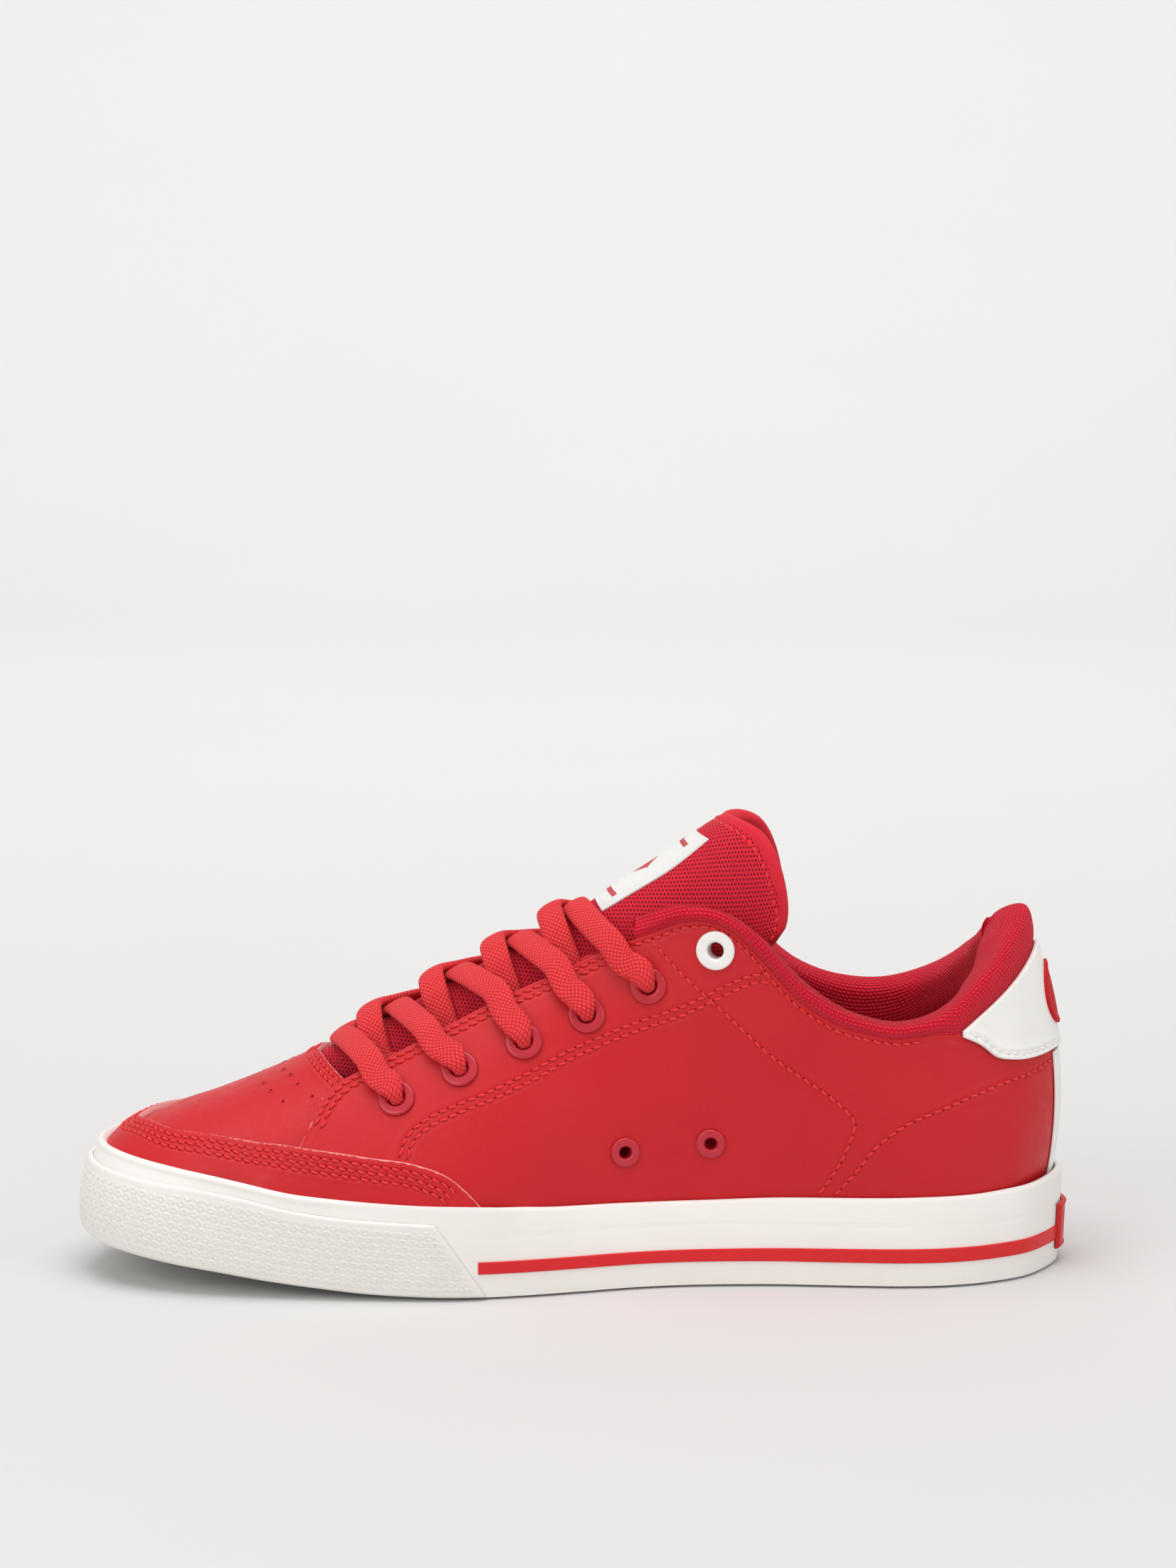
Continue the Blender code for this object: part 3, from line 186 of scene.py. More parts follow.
# Lace: where its strands cross the tongue's middle, lowest first; how far along
# from there and how high a crossing's points lie; loose end as (around, up,
# depth inside, width).
CROSSINGS = (0.150, 0.222, 0.3625, 0.502, 0.640)
LACE_LOW = 2.2
LACE_LEAN = (0.024, 0.026, 0.022, 0.025, 0.030)
CROSS_ACROSS = (0.5, 0.24, 0.0)     # b of a crossing, from its start to the middle
CROSS_OVER = ((-0.018, 2.6), (-0.010, 4.6), (-0.004, 5.4))
CROSS_UNDER = ((-0.018, 2.2), (0.014, 2.2), (0.042, 2.2))
STRAND_SPLITS = (0.36, 0.70)        # of the taut run from the middle to the eyestay
STRAND_RISE = {-1: 1.6, 1: 0.8}      # by the side the run goes to
TAIL = ((0.717, 0.65, 9.0, 0.4), (0.700, 0.50, 9.0, 1.0), (0.680, 0.36, 9.5, 1.0),
        (0.650, 0.27, 10.0, 1.0), (0.61, 0.22, 10.5, 1.0), (0.57, 0.205, 10.5, 1.0),
        (0.54, 0.205, 10.5, 0.8), (0.52, 0.21, 10.5, 0.2))

TONGUE_Y = -1.1             # its middle line
TONGUE_ARC = math.radians(75)
CORNER = (0.89, 0.48)       # along and across where its top corners start to round
TONGUE_CROWN = 2.4          # how far its top edge stands up beside the middle
TONGUE_COLS = 121           # columns of its mesh from edge to edge
BAND_WIDTH = 5.2            # binding round it, in mm from its edge
BAND_AT_TIP = 1.3           # how many times narrower the binding is over the tip
TURN_COL = 14               # columns from the side where its stitches turn over the tip


# ---- curves and the base surface -------------------------------------------
def smooth(knots, values, at):
    """Cubic curve through values at knots, read at the places in `at`."""
    k = np.asarray(knots, float)
    v = np.asarray(values, float).reshape(len(k), -1)
    h = np.diff(k)
    slope = np.diff(v, axis=0) / h[:, None]
    m = np.empty_like(v)
    m[1:-1] = (slope[:-1] * h[1:, None] + slope[1:] * h[:-1, None]) / (h[:-1] + h[1:])[:, None]
    m[0] = slope[0]
    m[-1] = slope[-1]
    at = np.clip(np.asarray(at, float), k[0], k[-1])
    i = np.clip(np.searchsorted(k, at, side="right") - 1, 0, len(k) - 2)
    step = h[i][..., None]
    t = ((at - k[i]) / h[i])[..., None]
    a = (2 * t**3 - 3 * t**2 + 1) * v[i] + (t**3 - 2 * t**2 + t) * step * m[i]
    b = (3 * t**2 - 2 * t**3) * v[i + 1] + (t**3 - t**2) * step * m[i + 1]
    return a + b


def read(table, at):
    """One value of a two-column table of given points."""
    t = np.asarray(table, float)
    return smooth(t[:, 0], t[:, 1], at)[..., 0]


def unit(v):
    return v / np.maximum(np.linalg.norm(v, axis=-1, keepdims=True), 1e-9)


def path_run(points):
    """Distance along a line of points, from its first."""
    return np.concatenate([[0], np.cumsum(np.linalg.norm(np.diff(points, axis=0), axis=1))])


def ease(low, high, x):
    """0 below low, 1 above high, smooth between."""
    t = np.clip((np.asarray(x, float) - low) / (high - low), 0, 1)
    return t * t * (3 - 2 * t)


def ground(x):
    return np.maximum(read(GROUND, x), 0)


def spoke_table():
    medial = [(-s, *m, *tm, tilt, belly) for s, m, _, tm, _, tilt, belly in SPOKES]
    lateral = [(s, *l, *tl, tilt, belly) for s, _, l, _, tl, tilt, belly in SPOKES]
    table = np.array(medial[::-1] + lateral[1:], float)
    before = table[-4:-1].copy()
    after = table[1:4].copy()
    before[:, 0] -= 2
    after[:, 0] += 2
    return np.vstack([before, table, after])


SPOKE_TABLE = spoke_table()


def spokes(s):
    """Foot, top, tilt, belly, outward plan normal and ridge slope at s."""
    def at(place):
        return smooth(SPOKE_TABLE[:, 0], SPOKE_TABLE[:, 1:], place)
    step = 1e-3
    v = at(s)
    run = at(s + step) - at(s - step)
    foot = np.stack([v[..., 0], v[..., 1], ground(v[..., 0]) + LAST_RISE], -1)
    out = np.stack([-run[..., 1], run[..., 0]], -1)
    out /= np.linalg.norm(out, axis=-1, keepdims=True)
    dx = np.where(np.abs(run[..., 2]) < 1e-5, 1.0, run[..., 2])
    slope = np.where(np.abs(run[..., 2]) < 1e-5, 0.36, run[..., 4] / dx)
    slope = np.clip(slope, 0, 0.8) * np.clip((0.62 - np.abs(s)) / 0.1, 0, 1)
    return foot, v[..., 2:5], np.radians(np.clip(v[..., 5], 0, 90)), v[..., 6], out, slope


def bare(s, t):
    """The base surface itself: each spoke is a cubic from its foot to its top."""
    s, t = np.broadcast_arrays(np.asarray(s, float), np.asarray(t, float))
    foot, top, tilt, belly, out, slope = spokes(s)
    reach_in = foot[..., :2] + 12 * out - top[..., :2]
    width = np.linalg.norm(reach_in, axis=-1)
    heading = reach_in / width[..., None]
    width = np.maximum(width - 12, 7)
    height = top[..., 2] - foot[..., 2]
    low = foot.copy()
    low[..., 2] += height * (0.50 - 0.08 * np.sin(tilt))
    low[..., :2] += out * (2.0 + 2.5 * np.sin(tilt) + belly)[..., None]
    high = top.copy()
    reach = np.cos(tilt) * 0.56 * width
    high[..., :2] += heading * reach[..., None] + out * (0.9 * belly)[..., None]
    high[..., 2] += reach * heading[..., 0] * slope - np.sin(tilt) * 0.36 * height
    t = t[..., None]
    u = 1 - t
    return u**3 * foot + 3 * u * u * t * low + 3 * u * t * t * high + t**3 * top


def one_normal(s, t):
    step = 2e-3
    t = np.where(np.abs(s) < 0.06, np.minimum(t, 0.96), t)
    t_low = np.maximum(t - step, 0)
    t_high = np.minimum(t + step, 1)
    return unit(np.cross(bare(s, t_high) - bare(s, t_low), bare(s + step, t) - bare(s - step, t)))


def normal(s, t):
    """Outward normal; over the ridge both sides share one."""
    s, t = np.broadcast_arrays(np.asarray(s, float), np.asarray(t, float))
    n = one_normal(s, t)
    shared = unit(n + one_normal(-s, t))
    ridge = ((t > 0.995) & (np.abs(s) < 0.5))[..., None]
    return np.where(ridge, shared, n)


def skin(s, t, offset=0.0):
    """Point on the base surface, moved out by offset."""
    return bare(s, t) + normal(s, t) * np.asarray(offset, float)[..., None]


def even_run(start, end, count, crowd=0.0):
    """Around values from start to end at even distances along the surface.

    A value over 1 carries on round the heel to the medial side. crowd draws
    them together around the toe and the heel of a full turn.
    """
    fine = np.linspace(start, end, 1200)
    s = np.where(fine > 1, fine - 2, fine)
    path = bare(s, np.full_like(s, 0.3))
    run = path_run(path)
    share = np.linspace(-1, 1, count)
    share = (share - crowd * np.sin(2 * math.pi * share) / (2 * math.pi) + 1) / 2
    even = np.interp(share * run[-1], run, fine)
    return np.where(even > 1, even - 2, even)


def toeward(cols):
    """Steps from -1 to 1 that crowd together around the toe."""
    run = np.linspace(-1, 1, cols)
    return np.sign(run) * np.abs(run) ** 1.35


def quarter_face(s):
    """Outer offset of the quarter: proud over the vamp, flush behind it."""
    return QUARTER_FLUSH + (QUARTER_RISE - QUARTER_FLUSH) * ease(-0.68, -0.60, -np.abs(s))


def mudguard_base(s, t):
    """Inner offset of the mudguard: over the vamp, then over the quarter."""
    ahead = np.abs(s) - line_at(QUARTER_FRONT, t, by_up=True)
    toe = 0.25 * (1 - ease(0.22, 0.30, np.abs(s)))
    return GAP + toe + QUARTER_RISE * ease(-0.055, -0.012, ahead)


def line_at(points, place, by_up=False):
    """A pattern line read by its around, or by its up, coordinate."""
    p = np.asarray(points, float)
    if by_up:
        p = p[:, ::-1]
    return smooth(p[:, 0], p[:, 1], place)[..., 0]


def top_line(s):
    """Upper edge of the quarter leather: eyestay, collar and heel tab."""
    return line_at(EYESTAY_EDGE + COLLAR_EDGE[1:] + TAB_EDGE[1:], np.abs(s))


# ---- sole wall -----------------------------------------------------------------
def foxing_up(s):
    """Up coordinate where the foxing's top edge crosses the surface at s."""
    low, high = np.zeros_like(s), np.full_like(s, 0.7)
    for _ in range(30):
        mid = (low + high) / 2
        p = bare(s, mid)
        under = p[..., 2] < read(FOXING_TOP, p[..., 0])
        low = np.where(under, mid, low)
        high = np.where(under, high, mid)
    return low


def foxing_clear(s):
    """Foxing's inner face outside the base surface: it clears what lies under it."""
    s = np.abs(s)
    overlays = 1.9 * ease(0.24, 0.32, s) - 1.6 * ease(0.575, 0.61, s)
    return FOXING_CLEAR + overlays - 1.55 * ease(0.62, 0.69, s) + 1.3 * ease(0.968, 0.985, s)


def foxing_face(s):
    """Foxing's outer face at its top edge, outside the base surface."""
    return foxing_clear(s) + 1.5 + 0.6 * (1 - ease(0.15, 0.32, np.abs(s)))


def wall(s, z_share):
    """Outer face of the foxing at s: z_share 0 at its lower edge, 1 at its top."""
    foot, _, _, _, out, _ = spokes(s)
    toe = 1 - ease(0.15, 0.32, np.abs(s))
    top = skin(s, foxing_up(s), foxing_face(s))
    floor = ground(foot[..., 0]) + FOXING_BOTTOM
    low = np.concatenate([foot[..., :2] + out * FOXING_OUT, floor[..., None]], -1)
    height = top[..., 2] - floor
    swell = low.copy()
    swell[..., :2] += out * (0.9 + 0.9 * toe)[..., None]
    swell[..., 2] += 0.55 * height
    z_share = np.asarray(z_share, float)[..., None]
    u = 1 - z_share
    return u * u * low + 2 * u * z_share * swell + z_share**2 * top


# ---- tongue and lace route ------------------------------------------------------
def tongue(a, b, lift=0.0):
    """Point of the tongue's front face: a runs up its length, b across it."""
    a, b = np.broadcast_arrays(np.asarray(a, float), np.asarray(b, float))
    table = np.array([(k, *middle, *edge) for k, middle, edge in TONGUE], float)

    def face(a, b):
        v = smooth(table[:, 0], table[:, 1:], a)
        turn = TONGUE_ARC * np.abs(b)
        sideways = np.sign(b) * np.sin(turn) / math.sin(TONGUE_ARC)
        back = (1 - np.cos(turn)) / (1 - math.cos(TONGUE_ARC))
        crown = TONGUE_CROWN * np.sin(math.pi * b) ** 2 * ease(0.84, 1.0, a)
        return np.stack([v[..., 0] + (v[..., 2] - v[..., 0]) * back + 0.31 * crown,
                         TONGUE_Y + v[..., 3] * sideways,
                         v[..., 1] + (v[..., 4] - v[..., 1]) * back + 0.95 * crown], -1)
    step = 1e-3
    n = np.cross(face(a, b + step) - face(a, b - step), face(a + step, b) - face(a - step, b))
    n /= np.linalg.norm(n, axis=-1, keepdims=True)
    return face(a, b) - n * np.asarray(lift, float)[..., None]


def tongue_top(b):
    """Where the tongue's rounded top edge lies at b."""
    past = np.clip((np.abs(b) - CORNER[1]) / (1 - CORNER[1]), 0, 1)
    return CORNER[0] + (1 - CORNER[0]) * np.sqrt(1 - past**2)


def beside(side, s, t, lift):
    """Lace point over one quarter's face, or under its lining, with the normal."""
    face = float(quarter_face(s)) if lift > 0 else 0.0
    return skin(side * s, t, face + lift), normal(side * s, t)


def across(a, b, lift):
    """Lace point over the tongue, with the tongue's normal."""
    p = tongue(a, b, lift)
    return p, (tongue(a, b, 1.0) - tongue(a, b, 0.0))


def into_eyelet(side, k):
    """From the eyestay's edge over the leather and through eyelet k."""
    s, t = EYELETS[k]
    lean = LACE_LEAN[k]
    edge = float(top_line(np.array(s - lean)))
    return [
        (*beside(side, s - lean, edge + 0.01, 2.4), 1.0),
        (*beside(side, s - 0.6 * lean, 0.5 * edge + 0.5 * t, 2.6), 1.0),
        (*beside(side, s - 0.28 * lean, t + 0.055, 3.0), 1.0),
        (*beside(side, s - 0.04 * lean, t + 0.014, 2.9), 0.38),
        (*beside(side, s, t, 1.4), 0.0),
        (*beside(side, s, t, -2.0), 0.0),
        (*beside(side, s, t, -6.4), 0.0),
    ]


def out_under_edge(side, k):
    """From inside eyelet k up between the lining and the tongue."""
    s, t = EYELETS[k]
    edge = float(top_line(np.array(s)))
    return [
        (*beside(side, s + 0.002, t + 0.035, -7.4), 0.3),
        (*beside(side, s + 0.004, 0.5 * t + 0.5 * edge, -6.3), 0.8),
        (*beside(side, s + 0.002, edge, -5.9), 1.0),
        (*across(CROSSINGS[k + 1] - 0.02, side * 0.70, LACE_LOW), 1.0),
    ]


def crossing(side, k, over):
    """Over the tongue from `side` to its middle, above or below the other strand."""
    route = CROSS_OVER if over else CROSS_UNDER
    return [(*across(CROSSINGS[k] + ahead, side * b, lift), 1.0)
            for b, (ahead, lift) in zip(CROSS_ACROSS, route)]


def taut(side, start, end):
    """Points of the nearly straight run between two supports."""
    points = []
    for u in STRAND_SPLITS:
        up = start[1] * (1 - u) + end[1] * u
        up = up / np.linalg.norm(up)
        bow = STRAND_RISE[side] * 4 * u * (1 - u)
        points.append((start[0] * (1 - u) + end[0] * u + up * bow, up, 1.0))
    return points


def tail(side):
    """Loose end, tucked inside down the quarter and forward over the sockliner."""
    return [(*beside(side, s, t, -depth), wide) for s, t, depth, wide in TAIL]


def half_lace(side):
    """From the middle of the first bar to the loose end on `side`'s last eyelet."""
    path = [(*across(CROSSINGS[0] + 0.004, side * 0.1, LACE_LOW + 0.3), 1.0)]
    here = side
    for k in range(5):
        entry = into_eyelet(here, k)
        path += taut(here, path[-1], entry[0]) + entry
        if k < 4:
            path += out_under_edge(here, k)
            path += crossing(here, k + 1, over=here < 0)
            here = -here
    return path + tail(here)


def lace_frames():
    first = half_lace(-1)
    second = half_lace(1)
    middle = [(*across(CROSSINGS[0], 0.0, LACE_LOW), 1.0)]
    nodes = first[::-1] + middle + second
    points = np.array([n[0] for n in nodes])
    ups = np.array([n[1] for n in nodes])
    wide = np.array([n[2] for n in nodes])
    return points, ups, wide


def round_heel(start, cols):
    """Around values from the lateral side round the heel to the medial side."""
    return even_run(start, 2 - start, cols)


def collar_skin(s):
    """Rows of the collar's textile face, from the leather's edge over the roll
    and down inside to the sockliner."""
    _, top, tilt, _, out, _ = spokes(s)
    thick = read(COLLAR_THICK, np.abs(s))[:, None]
    level = np.zeros((len(s), 1))
    down = np.concatenate([out * np.cos(tilt)[:, None], -np.sin(tilt)[:, None] + level], 1)
    away = np.concatenate([out * np.sin(tilt)[:, None], np.cos(tilt)[:, None] + level], 1)
    edge = top_line(s)
    lined = ease(0.80, 0.85, np.abs(s))

    def wall_row(near, far, depth):
        return skin(s, near + (far - near) * lined, -depth)
    pad = 4.6 + 0.55 * (thick[:, 0] - 5) * lined
    return np.stack([
        skin(s, edge + 0.009, 0.1), skin(s, (edge + 1) / 2, 0.8), top,
        top - away * thick * 0.45 - down * thick * 0.18,
        top - away * thick * 0.9 - down * thick * 0.02,
        top - away * thick * 1.08 + down * thick * 0.5,
        wall_row(0.955, 0.62, pad), wall_row(0.95, 0.42, 4.9), wall_row(0.94, 0.05, 4.5)], 1)


def inward(grid, depth):
    """Moves a grid of points along its own normals, away from its face."""
    return grid + unit(np.cross(np.gradient(grid, axis=0), np.gradient(grid, axis=1))) * depth


# ---- meshes ------------------------------------------------------------------
def world(points):
    """Drawing frame in mm to world metres."""
    return (np.asarray(points, float) - np.array([CENTRE_X, CENTRE_Y, 0.0])) * MM


def hashed(*values):
    """Repeatable noise in 0..1 from numbers."""
    v = sum(np.asarray(x, float) * k for x, k in zip(values, (12.9898, 78.233, 37.719)))
    return np.mod(np.sin(v) * 43758.5453, 1.0)


def wobble(x, pitch, seed=0.0):
    """Smooth repeatable noise in -1..1 along x."""
    x = np.asarray(x, float) / pitch
    low = np.floor(x)
    share = x - low
    share = share * share * (3 - 2 * share)
    a = hashed(low, seed + 3.1)
    b = hashed(low + 1, seed + 3.1)
    return 2 * (a + (b - a) * share) - 1


def sheet_part(points, slot=0, mm=None):
    return np.asarray(points, float), mm, slot


def make(name, parts, mats, body="shoe", weld=1.5e-6, smooth_angle=50, turn=True):
    """One mesh from grids of points: (points, coordinates in mm, slot) each."""
    verts, quads, coords, slots = [], [], [], []
    base = 0
    for points, mm, slot in parts:
        cols, rows = points.shape[:2]
        k = base + np.arange(cols * rows).reshape(cols, rows)
        quad = np.stack([k[:-1, :-1], k[1:, :-1], k[1:, 1:], k[:-1, 1:]], -1).reshape(-1, 4)
        verts.append(points.reshape(-1, 3))
        if mm is None:
            mm = np.zeros((cols, rows, 2))
        flat = np.concatenate([mm.reshape(-1, 2), np.zeros((cols * rows, 1))], 1)
        coords.append(flat[(quad - base).reshape(-1)])
        quads.append(quad)
        slots.append(np.broadcast_to(np.asarray(slot), (cols - 1, rows - 1)).reshape(-1))
        base += cols * rows
    verts = world(np.concatenate(verts))
    quads = np.concatenate(quads)
    mesh = bpy.data.meshes.new(name)
    mesh.vertices.add(len(verts))
    mesh.vertices.foreach_set("co", verts.astype(np.float32).ravel())
    mesh.loops.add(len(quads) * 4)
    mesh.loops.foreach_set("vertex_index", quads.astype(np.int32).ravel())
    mesh.polygons.add(len(quads))
    mesh.polygons.foreach_set("loop_start", np.arange(0, len(quads) * 4, 4, dtype=np.int32))
    mesh.polygons.foreach_set("material_index", np.concatenate(slots).astype(np.int32))
    mm = mesh.attributes.new("mm", "FLOAT_VECTOR", "CORNER")
    mm.data.foreach_set("vector", np.concatenate(coords).astype(np.float32).ravel())
    mesh.update(calc_edges=True)
    bm = bmesh.new()
    bm.from_mesh(mesh)
    bmesh.ops.remove_doubles(bm, verts=bm.verts, dist=weld)
    bmesh.ops.dissolve_degenerate(bm, edges=bm.edges, dist=weld)
    if turn:
        bmesh.ops.recalc_face_normals(bm, faces=bm.faces)
    bm.to_mesh(mesh)
    bm.free()
    mesh.shade_smooth()
    mesh.set_sharp_from_angle(angle=math.radians(smooth_angle))
    for mat in mats if isinstance(mats, (list, tuple)) else [mats]:
        mesh.materials.append(mat)
    obj = bpy.data.objects.new(name, mesh)
    bpy.context.scene.collection.objects.link(obj)
    if body:
        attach(obj, body)
    return obj


def run_of(points, axis):
    """Distance along a grid of points, from its first row or column."""
    step = np.linalg.norm(np.diff(points, axis=axis), axis=-1)
    zero = np.zeros_like(np.take(step, [0], axis=axis))
    return np.cumsum(np.concatenate([zero, step], axis=axis), axis=axis)


def marks(pitch, length, low=True, high=True, near=(0.12, 0.3, 0.55, 0.95)):
    """Shares from 0 to 1, `pitch` mm apart, crowded at the ends that have an edge."""
    count = max(int(round(length / pitch)), 2)
    even = np.linspace(0, 1, count + 1)
    share = list(even)
    if low:
        share = [x for x in share if x == 0 or x * length > near[-1] * 1.3]
        share += [d / length for d in near]
    if high:
        share = [x for x in share if x == 1 or (1 - x) * length > near[-1] * 1.3]
        share += [1 - d / length for d in near]
    return np.array(sorted(share))


BORDERS = ("left", "right", "low", "high")


def close_shell(outer, inner, ends=BORDERS, slot=1):
    """The parts that turn an outer and an inner grid into one closed shell."""
    parts = [sheet_part(inner[:, ::-1])]
    pick = {"left": (outer[0], inner[0]), "right": (outer[-1], inner[-1]),
            "low": (outer[:, 0], inner[:, 0]), "high": (outer[:, -1], inner[:, -1])}
    for end in ends:
        a, b = pick[end]
        rows = np.linspace(0, 1, 3)[None, :, None]
        parts.append(sheet_part(a[:, None] * (1 - rows) + b[:, None] * rows, slot))
    return parts


def edge_distance(points, ends):
    """Distance in mm from each point of a grid to its nearest free border."""
    across = run_of(points, 0)
    up = run_of(points, 1)
    far = {"left": across, "right": across[-1:] - across, "low": up, "high": up[:, -1:] - up}
    return np.min([far[end] for end in ends], 0)


def rounding(distance, radius):
    """How far a face has dropped at a distance from its rounded border."""
    d = np.clip(radius - distance, 0, radius)
    return radius - np.sqrt(np.maximum(radius**2 - d**2, 0))


def nearest(points, lines):
    """Distance from each point to the closest of several dense lines."""
    dense = np.concatenate(lines)
    tree = kdtree.KDTree(len(dense))
    for i, p in enumerate(dense):
        tree.insert(p, i)
    tree.balance()
    flat = points.reshape(-1, 3)
    return np.array([tree.find(p)[2] for p in flat]).reshape(points.shape[:-1])


def groove(points, lines, depth=0.30, width=0.60, swell=0.13):
    """Height of leather beside rows of stitching: pulled in along them."""
    if not lines:
        return 0.0
    d = nearest(points, lines)
    return swell * np.exp(-(((d - 1.35) / 0.8) ** 2)) - depth * np.exp(-((d / width) ** 2))


EDGE_ROUND = 0.5            # radius of a cut edge of leather, mm
RAW_EDGE = 0.31             # least width of its pale torn fibres, mm


def leather_panel(name, s, t, face, thick, mats, free, lines=(), closed=BORDERS, holes=(),
                  raw=None):
    """A panel of the upper with rounded free borders, a raw edge and grooves."""
    points = skin(s, t, face)
    gap = edge_distance(points, free)
    outer = skin(s, t, face - rounding(gap, EDGE_ROUND) + groove(points, list(lines)))
    inner = skin(s, t, face - thick)
    cells = np.array([gap[:-1, :-1], gap[1:, :-1], gap[:-1, 1:], gap[1:, 1:]])
    corner, far = cells.min(0), cells.max(0)
    torn = RAW_EDGE + 0.26 * (hashed(*np.indices(corner.shape)) > 0.62)
    slot = np.where((corner < EDGE_ROUND) & (far < torn), 1, 0)
    if raw is not None:
        slot = slot * raw[:-1, :-1]
    parts = [sheet_part(outer, slot)]
    parts += close_shell(outer, inner, closed)
    obj = make(name, parts, mats, smooth_angle=60)
    if holes:
        open_holes(obj, holes)
    return obj


def open_holes(obj, holes):
    """Removes the faces inside round holes, whose rims lie under eyelets."""
    bm = bmesh.new()
    bm.from_mesh(obj.data)
    gone = []
    tree = [(Vector(world(c)), Vector(n), r * MM) for c, n, r in holes]
    for face in bm.faces:
        centre = face.calc_center_median()
        for c, n, r in tree:
            away = centre - c
            if away.length < 0.012 and (away - n * away.dot(n)).length < r:
                gone.append(face)
                break
    bmesh.ops.delete(bm, geom=gone, context="FACES")
    bm.to_mesh(obj.data)
    bm.free()


# ---- lines on the pattern ----------------------------------------------------
def dense_line(points, pitch=LINE_PITCH):
    """A pattern line through (around, up) points, evenly spaced on the surface."""
    p = np.asarray(points, float)
    place = skin(p[:, 0], p[:, 1])
    run = path_run(place)
    fine = smooth(run, p, np.linspace(0, run[-1], 400))
    return even_line(fine, pitch)


def even_line(p, pitch):
    """The pattern line again, with its points `pitch` mm apart."""
    place = skin(p[:, 0], p[:, 1])
    run = path_run(place)
    at = np.linspace(0, run[-1], max(int(run[-1] / pitch), 4))
    return np.stack([np.interp(at, run, p[:, 0]), np.interp(at, run, p[:, 1])], 1)


def beside_line(p, distance, steps=4):
    """The pattern line moved sideways by distance mm, positive to its left."""
    p = np.array(p, float)
    for _ in range(steps):
        here = skin(p[:, 0], p[:, 1])
        along = unit(np.gradient(here, axis=0))
        left = np.cross(normal(p[:, 0], p[:, 1]), along)
        ds = (skin(p[:, 0] + 1e-3, p[:, 1]) - here) / 1e-3
        dt = (skin(p[:, 0], np.minimum(p[:, 1] + 1e-3, 1.2)) - here) / 1e-3
        want = left * (distance / steps)
        a, b, c = (ds * ds).sum(1), (ds * dt).sum(1), (dt * dt).sum(1)
        u, v = (want * ds).sum(1), (want * dt).sum(1)
        det = np.maximum(a * c - b * b, 1e-6)
        p[:, 0] += (u * c - v * b) / det
        p[:, 1] += (v * a - u * b) / det
        p = even_line(p, LINE_PITCH)
    return p


def clip_line(p, start, end):
    """The part of a pattern line between two distances from its ends, in mm."""
    return p[int(start / LINE_PITCH):len(p) - int(end / LINE_PITCH)]


def mirrored(points, side):
    """The dense pattern line through points, on the inner (-1) or outer (1) side."""
    p = np.array(points)
    return dense_line(np.stack([side * np.abs(p[:, 0]), p[:, 1]], 1))


def both_sides(points):
    return [(side, mirrored(points, side)) for side in (-1, 1)]


def capsule_rings(start, end, up, radius, bow):
    """Rings of one stitch: thread that dives in at both ends."""
    along = unit(end - start)
    side = np.cross(along, up)
    rings = []
    for share, size in ((0, 0.35), (0.14, 0.85), (0.36, 1.0), (0.64, 1.0), (0.86, 0.85), (1, 0.35)):
        rise = bow * math.sin(math.pi * share) - 0.35 * radius
        centre = start + (end - start) * share + up * rise
        turn = np.linspace(0, 2 * math.pi, 9)
        rings.append(centre + (side * np.cos(turn)[:, None] + up * np.sin(turn)[:, None])
                     * radius * size)
    return np.array(rings)


def stitches(name, rows, mats, pitch=3.0, radius=0.40, lean=0.24, body="shoe", fill=0.78):
    """All stitches of one seam, each with a small dark disc of painted hole shade before it. rows:
    (points, normals) with points 0.4 mm apart or so.
    """
    parts = []
    for number, (points, ups) in enumerate(rows):
        run = path_run(points)
        count = max(int(run[-1] / pitch), 1)
        for k in range(count):
            shift = 0.12 * (hashed(k, number) - 0.5)
            a = (k + 0.1 + shift) * run[-1] / count
            b = a + fill * run[-1] / count
            ends = [np.array([np.interp(x, run, points[:, i]) for i in range(3)]) for x in (a, b)]
            up = np.array([np.interp((a + b) / 2, run, ups[:, i]) for i in range(3)])
            up /= np.linalg.norm(up)
            side = np.cross(up, unit(ends[1] - ends[0]))
            ends[0] = ends[0] + side * lean
            ends[1] = ends[1] - side * lean
            ring = capsule_rings(ends[0], ends[1], up, radius, 0.30)
            parts.append(sheet_part(ring))
            # Dark disc just before the stitch: painted shade of its stitch hole.
            hole_shade = ends[0] - 0.30 * unit(ends[1] - ends[0]) - 0.10 * up
            reach = 0.24 * unit(ends[1] - ends[0])
            parts.append(sheet_part(capsule_rings(hole_shade - reach, hole_shade + reach, up, 0.27, 0.0), 1))
    return make(name, parts, mats, body, weld=1e-7, smooth_angle=80, turn=True)


def on_skin(line, height):
    """Points and normals over a pattern line, for stitches."""
    return skin(line[:, 0], line[:, 1], height), normal(line[:, 0], line[:, 1])


def facing(axis):
    return np.array(Vector(axis).to_track_quat("Z", "Y").to_matrix())


def lathe(name, centre, axis, profile, mat, segments=48, body="shoe"):
    """A turned piece about `axis` from (radius, height) points, closed."""
    turn = facing(axis)
    profile = np.array(profile + profile[:1], float)
    angle = np.linspace(0, 2 * math.pi, segments + 1)[:, None]
    ring = np.stack([profile[None, :, 0] * np.cos(angle), profile[None, :, 0] * np.sin(angle),
                     profile[None, :, 1] + 0 * angle], -1)
    return make(name, [sheet_part(centre + ring @ turn.T)], mat, body, smooth_angle=50)


